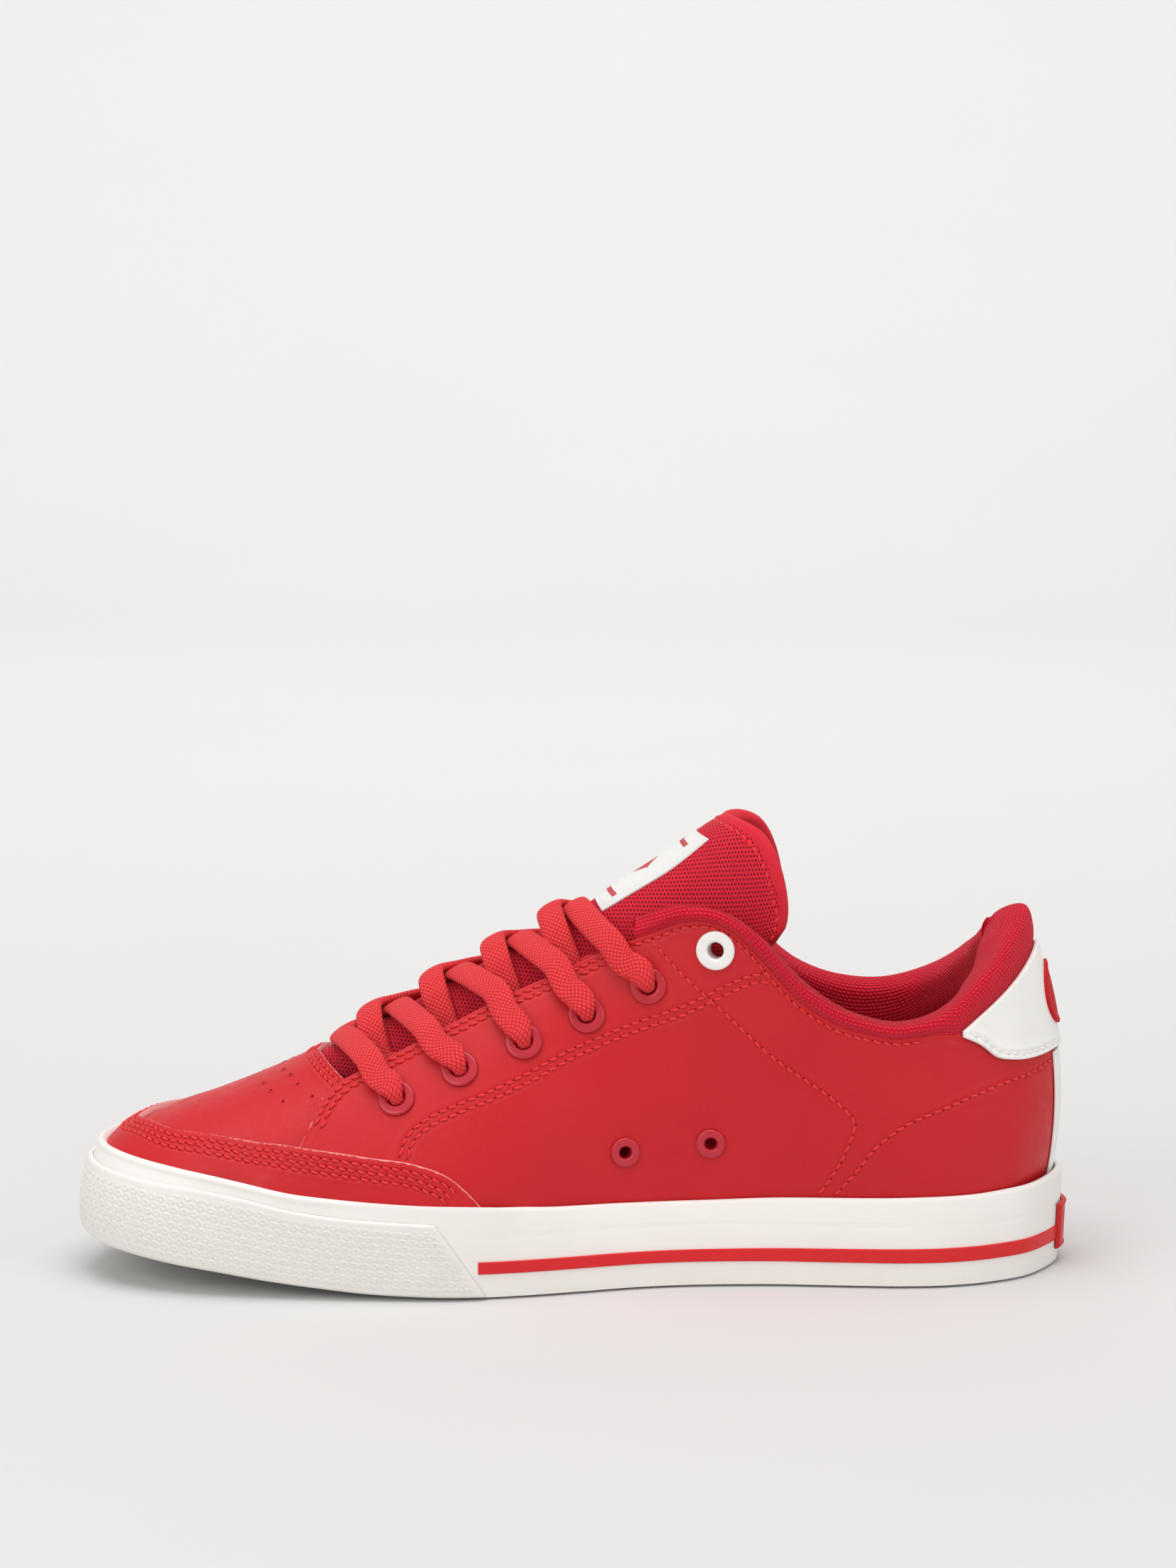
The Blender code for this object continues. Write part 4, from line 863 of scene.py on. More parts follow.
# ---- materials -----------------------------------------------------------------
class Shade:
    """A Principled material and short ways to build its node graph."""

    def __init__(self, name, rough, specular=0.35, **sockets):
        self.mat = bpy.data.materials.new(name)
        self.mat.use_nodes = True
        self.tree = self.mat.node_tree
        self.shader = self.tree.nodes["Principled BSDF"]
        self.put(self.shader, {"Roughness": rough, "Specular IOR Level": specular})
        self.put(self.shader, {key.replace("_", " "): v for key, v in sockets.items()})
        attribute = self.node("Attribute")
        attribute.attribute_name = "mm"
        split = self.node("SeparateXYZ", {0: attribute.outputs["Vector"]})
        self.x, self.y = split.outputs[0], split.outputs[1]
        place = self.node("TexCoord").outputs["Object"]
        scale = self.node("VectorMath", {0: place, "Scale": 1 / MM}, operation="SCALE")
        self.place = scale.outputs[0]

    def node(self, kind, values=(), **settings):
        node = self.tree.nodes.new("ShaderNode" + kind)
        for key, value in settings.items():
            setattr(node, key, value)
        self.put(node, dict(values))
        return node

    def put(self, node, values):
        for key, value in values.items():
            if isinstance(value, bpy.types.NodeSocket):
                self.tree.links.new(value, node.inputs[key])
            else:
                node.inputs[key].default_value = value

    def math(self, operation, *values):
        return self.node("Math", enumerate(values), operation=operation).outputs[0]

    def noise(self, scale, detail=2.0):
        """Noise with features 1 / scale mm across."""
        values = {"Scale": scale, "Detail": detail, "Vector": self.place}
        return self.node("TexNoise", values).outputs["Fac"]

    def cells(self, scale):
        """Pebbles 1 / scale mm across, 0 in their middles."""
        return self.node("TexVoronoi", {"Scale": scale, "Vector": self.place}).outputs["Distance"]

    def between(self, value, low, high, a=0.0, b=1.0):
        return self.node("MapRange", enumerate((value, low, high, a, b))).outputs[0]

    def mix(self, share, a, b):
        values = {0: share, 6: (*a, 1), 7: (*b, 1)}
        return self.node("Mix", values, data_type="RGBA").outputs[2]

    def colour(self, share, a, b):
        self.put(self.shader, {"Base Color": self.mix(share, a, b)})

    def bump(self, *layers):
        """Layers of (height 0..1, its size in mm)."""
        last = None
        for height, size in layers:
            values = {"Height": height, "Distance": size * MM}
            if last:
                values["Normal"] = last
            last = self.node("Bump", values).outputs[0]
        self.put(self.shader, {"Normal": last})
        return self.mat

    def bumps(self, wide, tall, power=1.0):
        """Rows of round bumps, every other row moved by half a bump."""
        row = self.math("DIVIDE", self.y, tall)
        odd = self.math("MULTIPLY", self.math("MODULO", self.math("FLOOR", row), 2.0), 0.5)
        u = self.math("FRACT", self.math("ADD", self.math("DIVIDE", self.x, wide), odd))
        v = self.math("FRACT", row)
        a = self.math("SINE", self.math("MULTIPLY", u, math.pi))
        b = self.math("SINE", self.math("MULTIPLY", v, math.pi))
        return self.math("POWER", self.math("MULTIPLY", a, b), power)

    def plaits(self, size):
        """Diamond cells of a braid or a twill."""
        p = self.math("MULTIPLY", self.math("ADD", self.x, self.y), math.pi / size)
        q = self.math("MULTIPLY", self.math("SUBTRACT", self.x, self.y), math.pi / size)
        both = self.math("MULTIPLY", self.math("SINE", p), self.math("SINE", q))
        return self.math("POWER", self.math("ABSOLUTE", both), 0.6)


def leather(name, light, dark, rough=0.46, grain=0.03):
    m = Shade(name, rough, specular=0.32)
    m.colour(m.noise(0.035, 3), dark, light)
    worn = m.between(m.noise(0.35, 3), 0.3, 0.7, rough - 0.05, rough + 0.07)
    m.put(m.shader, {"Roughness": worn})
    return m.bump((m.cells(1.15), grain), (m.noise(0.12, 2), 0.22), (m.noise(4.0, 2), grain * 0.5))


def plain(m, light, dark, patches, *layers):
    """Two tones in noisy patches, and bumps as (noise scale, detail, size in mm)."""
    m.colour(m.noise(*patches), dark, light)
    return m.bump(*[(m.noise(scale, detail), size) for scale, detail, size in layers])


def rubber(name, light, dark, rough=0.5):
    m = Shade(name, rough, specular=0.4)
    return plain(m, light, dark, (0.05, 4), (2.5, 3, 0.025), (0.08, 1, 0.12))


def fibre(name, light, dark, rough=0.85, size=0.12, sheen=0.15):
    m = Shade(name, rough, specular=0.15, Sheen_Weight=sheen, Sheen_Roughness=0.5)
    return plain(m, light, dark, (0.9, 4), (2.2, 4, size))


def knit(name, light, dark, wide, tall, size):
    m = Shade(name, 0.9, specular=0.12, Sheen_Weight=0.22, Sheen_Roughness=0.45)
    m.put(m.shader, {"Sheen Tint": (1, 0.45, 0.45, 1)})
    loops = m.bumps(wide, tall, 0.8)
    fuzz = m.noise(1.6, 4)
    # Colour darker between the loops: painted shade in the gaps, with random tone from the noise.
    deep = m.math("MULTIPLY", loops, m.between(fuzz, 0.25, 0.75, 0.75, 1.15))
    m.colour(deep, dark, light)
    return m.bump((loops, size), (m.noise(5.0, 2), 0.06))


def braid(name, light, dark, size, deep, rough=0.75):
    m = Shade(name, rough, specular=0.2, Sheen_Weight=0.12, Sheen_Roughness=0.4)
    m.put(m.shader, {"Sheen Tint": (1, 0.5, 0.5, 1)})
    cell = m.plaits(size)
    # Colour darker at the cell borders: painted shade between the plaits, with random tone from the
    # noise.
    m.colour(m.math("MULTIPLY", cell, m.between(m.noise(1.3, 3), 0.2, 0.8, 0.8, 1.1)), dark, light)
    return m.bump((cell, deep), (m.noise(6.0, 2), 0.04))


def air_mesh(name, light, dark, wide, tall):
    m = Shade(name, 0.8, specular=0.18, Sheen_Weight=0.15)
    m.put(m.shader, {"Sheen Tint": (1, 0.45, 0.5, 1)})
    # Mesh openings coloured dark: painted shade inside them; the raised ribs keep the light tone.
    hole_shade = m.between(m.bumps(wide, tall), 0.42, 0.72)
    m.colour(hole_shade, light, dark)
    rib = m.math("SUBTRACT", 1.0, hole_shade)
    return m.bump((rib, 0.28), (m.noise(4.5, 3), 0.06))


def label_weave(name, white, red, half_x, half_y):
    """Ribbed white weave with a plain motif: two bars and a diamond."""
    m = Shade(name, 0.7, specular=0.2)
    ax, ay = m.math("ABSOLUTE", m.x), m.math("ABSOLUTE", m.y)
    diamond = m.between(m.math("ADD", m.math("DIVIDE", ax, 3.4), m.math("DIVIDE", ay, 4.8)),
                        0.95, 1.05, 1.0, 0.0)
    off = m.math("ABSOLUTE", m.math("SUBTRACT", ay, half_y * 0.74))
    bar = m.between(off, 0.75, 0.95, 1.0, 0.0)
    inside = m.between(ax, half_x - 1.9, half_x - 1.7, 1.0, 0.0)
    motif = m.math("MAXIMUM", m.math("MULTIPLY", bar, inside), diamond)
    m.colour(m.math("MULTIPLY", motif, m.between(m.noise(2.0), 0.3, 0.7, 0.85, 1.0)), white, red)
    ribs = m.math("ABSOLUTE", m.math("SINE", m.math("MULTIPLY", m.y, math.pi / 0.42)))
    return m.bump((ribs, 0.08), (motif, 0.10), (m.noise(4.0, 2), 0.05))


def gloss(name, light, dark, rough=0.3):
    return plain(Shade(name, rough, specular=0.5), light, dark, (0.3, 2), (1.2, 3, 0.02))


def thread(name, light, dark):
    m = Shade(name, 0.55, specular=0.3, Sheen_Weight=0.1)
    return plain(m, light, dark, (1.4, 3), (3.5, 2, 0.06))


def make_materials():
    # Dark tones here that are painted shade: the stitch-hole and perforation discs, and the darker
    # parts of the knit, braid and air-mesh patterns between loops, between plaits and inside mesh
    # openings.
    return {
        "leather": leather("scene_red_leather", (0.60, 0.012, 0.018), (0.52, 0.006, 0.011)),
        "raw": fibre("scene_raw_edge", (0.86, 0.45, 0.43), (0.66, 0.22, 0.22), 0.8, 0.08, 0),
        "hole_shade": fibre("scene_painted_hole_shade",
                      (0.26, 0.005, 0.007), (0.16, 0.003, 0.004), 0.8, 0.05, 0),
        "thread": thread("scene_red_thread", (0.82, 0.036, 0.040), (0.68, 0.020, 0.024)),
        "white_thread": thread("scene_white_thread", (0.90, 0.89, 0.86), (0.78, 0.76, 0.73)),
        "knit": knit("scene_collar_knit",
                     (0.94, 0.020, 0.054), (0.54, 0.006, 0.022), 1.4, 1.15, 0.5),
        "mesh": air_mesh("scene_tongue_mesh",
                         (0.74, 0.016, 0.040), (0.25, 0.003, 0.012), 1.4, 1.05),
        "twill": braid("scene_tongue_twill",
                       (0.78, 0.024, 0.046), (0.62, 0.014, 0.030), 0.55, 0.08),
        "back": knit("scene_tongue_back",
                     (0.60, 0.008, 0.028), (0.34, 0.003, 0.012), 1.1, 0.9, 0.2),
        "lace": braid("scene_lace_braid", (0.95, 0.062, 0.070), (0.56, 0.014, 0.020), 1.55, 0.32),
        "sole": rubber("scene_white_rubber", (0.88, 0.855, 0.82), (0.82, 0.79, 0.75)),
        "bumper": rubber("scene_bumper_rubber", (0.83, 0.80, 0.76), (0.77, 0.74, 0.70), 0.55),
        "stripe": rubber("scene_red_rubber", (0.70, 0.012, 0.016), (0.62, 0.008, 0.012), 0.45),
        "patch": rubber("scene_red_patch", (0.62, 0.014, 0.018), (0.55, 0.008, 0.012), 0.5),
        "tread": rubber("scene_outsole_rubber", (0.84, 0.81, 0.77), (0.76, 0.73, 0.69), 0.6),
        "white": leather("scene_white_leather",
                         (0.89, 0.875, 0.85), (0.85, 0.835, 0.81), 0.5, 0.04),
        "eyelet": gloss("scene_red_eyelet", (0.53, 0.017, 0.034), (0.46, 0.012, 0.026), 0.22),
        "white_eyelet": gloss("scene_white_eyelet", (0.88, 0.86, 0.83), (0.82, 0.80, 0.77), 0.25),
        "plastic": gloss("scene_aglet_film", (0.50, 0.015, 0.022), (0.42, 0.010, 0.015), 0.2),
        "foam": fibre("scene_foam", (0.80, 0.79, 0.76), (0.68, 0.67, 0.63), 0.9, 0.3, 0),
        "board": fibre("scene_board", (0.58, 0.55, 0.50), (0.46, 0.43, 0.39), 0.9, 0.1, 0),
        "lining": fibre("scene_red_lining", (0.50, 0.010, 0.030), (0.34, 0.005, 0.016), 0.9, 0.15),
        "sock": fibre("scene_sockliner_cloth",
                      (0.56, 0.008, 0.030), (0.38, 0.004, 0.014), 0.9, 0.2),
        "label": label_weave("scene_label_weave",
                             (0.79, 0.78, 0.765), (0.52, 0.030, 0.040), 8.0, 18.0),
        "badge": braid("scene_badge_weave", (0.66, 0.014, 0.022), (0.44, 0.006, 0.010), 0.8, 0.12),
    }


# ---- camera, floor and light -----------------------------------------------------
CAMERA_LENS = 110           # mm
CAMERA_PLACE = (154.5, -1436.4, 371.2)
CAMERA_DIP = 8.86           # degrees below level


def make_camera():
    data = bpy.data.cameras.new("camera")
    data.lens = CAMERA_LENS
    camera = bpy.data.objects.new("camera", data)
    camera.location = world(CAMERA_PLACE)
    camera.rotation_euler = (math.radians(90 - CAMERA_DIP), 0, 0)
    bpy.context.scene.collection.objects.link(camera)
    bpy.context.scene.camera = camera


def lamp(name, place, target, size, watts):
    data = bpy.data.lights.new(name, "AREA")
    data.shape = "RECTANGLE"
    data.size, data.size_y = size
    data.energy = watts
    light = bpy.data.objects.new(name, data)
    light.location = place
    aim = Vector(target) - Vector(place)
    light.rotation_euler = aim.to_track_quat("-Z", "Y").to_euler()
    bpy.context.scene.collection.objects.link(light)


def make_stage():
    """Pale floor that sweeps up into a backdrop, and soft studio light."""
    bpy.context.scene.view_settings.view_transform = "Standard"
    turn = np.linspace(0, math.pi / 2, 24)
    y = np.concatenate([[-4.0, -1.0, 1.2], 1.6 + 1.0 * np.sin(turn), [2.6]])
    z = np.concatenate([[0.0, 0.0, 0.0], 1.0 - 1.0 * np.cos(turn), [4.5]])
    x = np.linspace(-5, 5, 9)
    grid = np.stack(np.broadcast_arrays(x[:, None], y[None, :], z[None, :]), -1)
    grid = grid / MM + np.array([CENTRE_X, CENTRE_Y, 0.0])
    paper = plain(Shade("scene_floor_paper", 0.9, specular=0.1), (0.68, 0.675, 0.67),
                  (0.66, 0.655, 0.65), (0.004, 3), (0.6, 3, 0.03))
    floor = make("floor", [sheet_part(grid)], paper, body=None, turn=False)
    sky = bpy.data.worlds.new("soft_sky")
    sky.use_nodes = True
    sky.node_tree.nodes["Background"].inputs[0].default_value = (1.0, 0.99, 0.98, 1)
    sky.node_tree.nodes["Background"].inputs[1].default_value = 0.62
    bpy.context.scene.world = sky
    lamp("overhead", (-0.1, -0.2, 1.7), (0, 0, 0.05), (1.6, 1.3), 17)
    lamp("front_left", (-1.0, -1.3, 0.9), (0, 0, 0.06), (1.0, 1.0), 7)
    lamp("front_right", (1.3, -1.1, 0.8), (0, 0, 0.06), (0.9, 0.9), 4)
    lamp("backdrop_wash", (0, 1.0, 1.7), (0, 2.5, 0.7), (2.6, 0.9), 25)


# ---- sole ------------------------------------------------------------------------
def ring_stations(count):
    """Stations all the way round the sole; the last repeats the first."""
    s = even_run(-1, 1, count, crowd=0.45)
    s[-1] = -1.0
    return s


def crossed(s, share):
    return s[:, None] + 0 * share[None, :], share[None, :] + 0 * s[:, None]


def wall_sheet(s, heights, extra):
    """The foxing's outer face at heights over the ground line, one list per station."""
    share = np.linspace(0, 1, 48)
    grid = wall(*crossed(s, share))
    level = grid[..., 2] - ground(grid[..., 0])
    _, _, _, _, out, _ = spokes(s)
    points = np.empty(heights.shape + (3,))
    for i in range(len(s)):
        for axis in range(3):
            points[i, :, axis] = np.interp(heights[i], level[i], grid[i, :, axis])
    points[..., :2] += out[:, None, :] * np.broadcast_to(extra, heights.shape)[..., None]
    return points


def build_foxing(mats):
    s = ring_stations(760)
    up = foxing_up(s)
    clear = foxing_clear(s)
    share = np.concatenate([np.linspace(0, 0.9, 30), [0.925, 0.945, 0.96, 0.972]])
    outer = wall(*crossed(s, share))
    foot, _, _, _, out, _ = spokes(s)
    height = outer[:, -1:, 2] - outer[:, :1, 2]
    below_top = (1 - share[None, :]) * height
    toe = 1 - ease(0.36, 0.47, np.abs(s))[:, None]
    rim = 0.34 * (1 - ease(1.5, 2.3, below_top)) * toe
    off_seam = np.abs(s)[:, None] - FOXING_SEAM
    seam = 0.30 * np.exp(-((off_seam / 0.0016) ** 2)) * ease(9, 6, below_top)
    above = outer[..., 2] - ground(outer[..., 0])
    line = 0.18 * np.exp(-(((above - FOXING_LINE) / 0.35) ** 2))
    line = line * ease(0.53, 0.58, np.abs(s))[:, None]
    outer[..., :2] += out[:, None, :] * (rim - seam - line)[..., None]
    top_out = skin(s, up, foxing_face(s))
    top_in = skin(s, up, clear - 0.42)
    arc = np.linspace(0.12, 0.88, 5)[None, :, None]
    crown = top_out[:, None] * (1 - arc) + top_in[:, None] * arc
    crown[..., 2] += 0.32 * np.sin(math.pi * arc[..., 0])
    inner = np.stack([top_in, skin(s, up - 0.03, clear - 0.42), skin(s, up * 0.5, clear)], 1)
    tuck = outer[:, 0].copy()
    tuck[:, :2] -= out * 0.9
    bottom = np.stack([np.column_stack([foot[:, :2] + out * 1.6, tuck[:, 2]]), tuck], 1)
    profile = np.concatenate([bottom, outer, crown, inner, bottom[:, :1]], 1)
    make_piece("foxing_wall", [sheet_part(profile)], mats["sole"], "foxing_band", "white_rubber")


def ring_relief(points_x, points_y, wide=3.2, tall=2.45):
    """Raised ovals in offset rows, 0 to 1."""
    row = np.floor(points_y / tall)
    u = points_x / wide + 0.5 * np.mod(row, 2)
    u = (u - np.floor(u) - 0.5) * wide
    v = (points_y / tall - row - 0.5) * tall
    d = np.sqrt((u / 1.22) ** 2 + (v / 0.90) ** 2)
    return np.exp(-(((d - 0.80) / 0.24) ** 2))


def build_bumper(mats):
    count = 860
    share = marks(0.36, 24.0, near=(0.1, 0.25, 0.5, 0.9))
    end = BUMPER_END - BUMPER_SLANT * share
    run = toeward(count)
    s = run[:, None] * end[None, :]
    foot_x = spokes(s)[0][..., 0]
    floor = ground(foot_x)
    top = read(BUMPER_TOP, foot_x)
    height = BUMPER_BOTTOM + (top - floor - BUMPER_BOTTOM) * share
    points = wall_grid(s, height)
    along = run_of(points, 0)
    along = along - along[count // 2]
    up = run_of(points, 1)
    gap = edge_distance(points, BORDERS)
    ovals = ring_relief(along, up - 1.4) * ease(1.6, 2.2, up) * ease(2.3, 3.0, up[:, -1:] - up)
    ovals = ovals * ease(1.6, 2.4, gap)
    proud = GAP + BUMPER_THICK - 0.25 - rounding(gap, 0.9) * 0.8 + 0.32 * ovals
    out = spokes(s)[4]
    outer = points.copy()
    outer[..., :2] += out * proud[..., None]
    inner = points.copy()
    inner[..., :2] += out * 0.15
    parts = [sheet_part(outer)] + close_shell(outer, inner, slot=0)
    make_piece("toe_bumper_cap", parts, mats["bumper"], "toe_bumper", "white_bumper")


def wall_grid(s, height):
    """Points of the foxing's outer face for a grid of (around, height)."""
    reach, tall = 0.58, 32
    cols, rows = 900, 80
    stations = np.linspace(-reach, reach, cols + 1)
    levels = np.linspace(0, tall, rows + 1)
    table = wall_sheet(stations, np.broadcast_to(levels, (cols + 1, rows + 1)), 0.0)
    u = np.clip((s + reach) / (2 * reach) * cols, 0, cols - 1e-3)
    v = np.clip(height / tall * rows, 0, rows - 1e-3)
    i, j = u.astype(int), v.astype(int)
    u, v = (u - i)[..., None], (v - j)[..., None]
    low = table[i, j] * (1 - u) + table[i + 1, j] * u
    high = table[i, j + 1] * (1 - u) + table[i + 1, j + 1] * u
    return low * (1 - v) + high * v


def tape(name, s, heights, inner, proud, mats, cad, slot, mat, radius=0.3, lip=0.0):
    """A moulded tape or patch on the foxing with softened borders."""
    base = wall_sheet(s, heights, 0.0)
    out = spokes(s)[4]
    gap = edge_distance(base, BORDERS)
    face = proud - rounding(gap, radius) + lip * (1 - ease(0.7, 1.3, gap)) * ease(0.2, 0.5, gap)
    outer = base.copy()
    outer[..., :2] += out[:, None, :] * face[..., None]
    under = base.copy()
    under[..., :2] += out[:, None, :] * inner
    parts = [sheet_part(outer)] + close_shell(outer, under, slot=0)
    return make_piece(name, parts, mats[mat], cad, slot)


def build_tapes(mats):
    half = round_heel(STRIPE_START, 620)
    share = marks(0.4, 3.9, near=(0.08, 0.18, 0.32, 0.5))
    top = STRIPE_TOP + STRIPE_RISE * ease(0.7, 1.0, np.abs(half))[:, None]
    heights = STRIPE_BOTTOM - 0.3 + (top - STRIPE_BOTTOM + 0.3) * share[None, :]
    tape("foxing_tape", half, heights, 0.0, 0.62, mats, "foxing_stripe", "red_rubber", "stripe")
    s = np.concatenate([np.linspace(PATCH_START, 1.0, 24), -np.linspace(1.0, PATCH_START, 24)[1:]])
    heights = PATCH_LOW + PATCH_TALL * marks(0.4, PATCH_TALL)[None, :] + 0 * s[:, None]
    tape("heel_tape_patch", s, heights, 0.3, 1.5, mats, "heel_patch", "red_patch", "patch",
         radius=0.5, lip=0.35)


def build_outsole(mats):
    """Underside with plain wavy grooves, one solid layer."""
    s = ring_stations(601)
    foot, _, _, _, out, _ = spokes(s)
    edge = foot[:, :2] + out * 1.1
    half = len(s) // 2
    medial, lateral = edge[half::-1], edge[half:]
    share = np.linspace(0, 1, 131)[None, :, None]
    plan = medial[:, None] * (1 - share) + lateral[:, None] * share
    x, y = plan[..., 0], plan[..., 1]
    off_middle = np.abs(share[..., 0] - 0.5) * 2
    pitch, swing, wave_length = 5.2, 2.6, 17
    wave = x + swing * np.sin(y * 2 * math.pi / wave_length)
    away = np.abs(np.mod(wave / pitch, 1) - 0.5) * pitch
    rim = ease(1.0, 0.86, off_middle) * ease(4, 9, x - x.min()) * ease(4, 9, x.max() - x)
    waist = 1 - ease(0, 6, 14 - np.abs(x - 190))
    depth = (1 - ease(0.7, 1.15, away)) * rim * waist
    groove_line = np.exp(-(((off_middle - 0.90) / 0.018) ** 2)) * 0.8 * ease(4, 9, x - x.min())
    z = ground(x) + np.maximum(depth, groove_line)
    bottom = np.concatenate([plan, z[..., None]], -1)
    top = np.concatenate([plan, (ground(x) + OUTSOLE_THICK)[..., None]], -1)
    parts = [sheet_part(bottom)] + close_shell(bottom, top, slot=0)
    make_piece("outsole_tread", parts, mats["tread"], "outsole", "white_rubber")


# ---- leather ---------------------------------------------------------------------
def make_piece(name, parts, mat, cad, slot, body="shoe", **how):
    """A finished piece that stands for one or more CAD nodes."""
    obj = make(name, parts, mat, body, **how)
    settle(cad)
    return obj


def settle(cad):
    if cad:
        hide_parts(*([cad] if isinstance(cad, str) else cad))


def seam(name, mats, lines, heights, mat="thread", hole_shade="hole_shade", **how):
    """Stitches over pattern lines, each with the height of its leather, and small discs of painted
    shade in their holes.
    """
    rows = [on_skin(line, height) for line, height in zip(lines, heights)]
    obj = stitches(name, rows, [mats[mat], mats[hole_shade]], **how)
    return obj


DECO = ((.491, .265), (.497, .323), (.514, .365), (.540, .385), (.580, .400), (.620, .427),
        (.673, .485), (.722, .573), (.772, .690), (.837, .902))
COLLAR_SEAM = ((.725, .870), (.738, .810), (.772, .705), (.802, .635), (.832, .583),
               (.864, .580), (.883, .537), (.891, .478), (.887, .372), (.876, .228), (.863, .118))
COUNTER_SEAM = ((.998, .470), (.984, .482), (.961, .527), (.939, .542), (.919, .487),
                (.904, .375), (.889, .230), (.874, .120))
PERFORATIONS = ((.318, .845), (.335, .740), (.356, .628), (.359, .820), (.372, .715),
                (.392, .608), (.344, .915))


def quarter_seams(side):
    """Pattern lines of one quarter's stitching, and the rows beside its edges."""
    edge = mirrored(QUARTER_FRONT[2:-1] + EYESTAY_EDGE, side)
    collar = mirrored(EYESTAY_EDGE[-1:] + COLLAR_EDGE[1:], side)
    deco = mirrored(DECO, side)
    rows = [beside_line(edge, side * d) for d in (1.7, 3.9)] + [beside_line(collar, side * 1.7)]
    rows += [beside_line(deco, d) for d in (1.2, -1.2)]
    return rows + [mirrored(COLLAR_SEAM, side), mirrored(COUNTER_SEAM, side)]


def build_quarter(side, label, mats):
    rows = quarter_seams(side)
    share = marks(0.85, 215, high=False)
    rise = marks(0.8, 60, low=False)[None, :]
    corner_s, corner_t = EYESTAY_EDGE[0]
    front_t = rise * corner_t
    front_s = line_at(QUARTER_FRONT, front_t, by_up=True)
    front_s[0, -1] = corner_s
    fine = even_run(corner_s, QUARTER_BACK, 1200)
    top_s = np.interp(share, np.linspace(0, 1, 1200), fine)[:, None]
    run = (top_s - corner_s) / (QUARTER_BACK - corner_s)
    s = side * (front_s + (QUARTER_BACK - front_s) * run)
    t = rise * top_line(top_s)
    face = quarter_face(s)
    lines = [skin(r[:, 0], r[:, 1], quarter_face(r[:, 0])) for r in rows]
    ragged = 0.30 * wobble(run_of(skin(s, t), 1), 1.7, side) * (np.arange(len(s)) == 0)[:, None]
    holes = [(skin(side * a, b, float(quarter_face(a))), normal(side * a, b), 3.9)
             for a, b in EYELETS]
    if side < 0:
        holes += [(skin(side * a, b), normal(side * a, b), 2.6) for a, b in VENTS]
    obj = leather_panel("quarter_leather_" + label, s + 0.0012 * ragged * side, t, face, LEATHER,
                        [mats["leather"], mats["raw"]], ("left", "high"), lines, holes=holes,
                        raw=np.abs(s) < 0.70)
    settle("quarter_" + label)
    keep = [clip_line(rows[0], 6, 1), clip_line(rows[1], 6, 1), clip_line(rows[2], 2, 12),
            clip_line(rows[3], 1, 1), clip_line(rows[4], 1, 1), rows[5], rows[6]]
    heights = [quarter_face(r[:, 0]) for r in keep]
    seam("quarter_edge_stitches_" + label, mats, keep[:3], heights[:3])
    seam("quarter_side_stitches_" + label, mats, keep[3:5], heights[3:5])
    seam("quarter_heel_stitches_" + label, mats, keep[5:], heights[5:])


def capped(edge, cols, row_marks, low_up=0.0):
    t = low_up + (1 - low_up) * row_marks
    reach = line_at(edge, t, by_up=True)
    return cols[:, None] * reach[None, :], np.broadcast_to(t, (len(cols), len(t))).copy()


def build_vamp(mats):
    share = marks(0.8, 150, low=False)
    cols = np.concatenate([-share[::-1], share[1:]])
    s, t = capped(THROAT, cols, marks(0.8, 75, low=False, high=False), 0.02)
    throat = dense_line(np.array(THROAT[1:]))
    rows = [clip_line(beside_line(edge, -side * d), 2, 1)
            for side, edge in both_sides(throat) for d in (1.7, 3.9)]
    lines = [skin(r[:, 0], r[:, 1]) for r in rows]
    crease = vamp_creases(s, t)
    obj = leather_panel("vamp_leather", s, t, VAMP_FACE + crease, VAMP_THICK,
                        [mats["leather"], mats["raw"]], ("left", "right"), lines,
                        closed=("left", "right", "low"))
    settle("vamp")
    seam("throat_stitches", mats, rows, [0.0 * r[:, 0] for r in rows])
    build_perforations(mats)


def vamp_creases(s, t):
    """Slight softness of the toe box."""
    return 0.12 * np.sin(9 * s + 1.3) * ease(0.5, 0.8, t) * (1 - ease(0.9, 1.0, t))


def build_perforations(mats):
    parts = []
    angle = np.linspace(0, 2 * math.pi, 21)[:, None]
    for side in (-1, 1):
        for a, b in PERFORATIONS:
            centre, n = skin(side * a, b), normal(side * a, b)
            turn = facing(n)
            # Each perforation is a flat disc; its dark middle is painted shade of the hole.
            radius = np.array([1.1, 0.75, 0.55, 0.45, 0.0])[None, :]
            height = np.array([-0.04, 0.05, 0.05, 0.02, 0.01])[None, :] + 0 * angle
            ring = np.stack([radius * np.cos(angle), radius * np.sin(angle), height], -1)
            slot = np.broadcast_to(np.array([0, 0, 1, 1])[None, :], (20, 4))
            parts.append(sheet_part(centre + ring @ turn.T, slot))
    obj = make("vamp_perforations", parts, [mats["leather"], mats["hole_shade"]], "shoe",
               smooth_angle=60)


def build_mudguard(mats):
    end = MUDGUARD_EDGE[-1][0]
    count = 440
    s = toeward(count) * end
    up = line_at(MUDGUARD_EDGE, np.abs(s))
    rows = marks(0.75, 42, low=False)[None, :]
    grid_s = s[:, None] + np.zeros_like(rows)
    grid_t = 0.02 + (up[:, None] - 0.02) * rows
    seams = [clip_line(beside_line(edge, side * d), 0, 3)
             for side, edge in both_sides(MUDGUARD_EDGE[:-1]) for d in (2.4, 4.4, 6.4)]
    heights = [mudguard_base(r[:, 0], r[:, 1]) + OVERLAY_THICK for r in seams]
    lines = [skin(r[:, 0], r[:, 1], h) for r, h in zip(seams, heights)]
    face = mudguard_base(grid_s, grid_t) + OVERLAY_THICK
    obj = leather_panel("mudguard_leather", grid_s, grid_t, face, OVERLAY_THICK + 0.6,
                        [mats["leather"], mats["raw"]], ("high",), lines)
    settle("mudguard")
    seam("mudguard_stitches", mats, seams, heights)


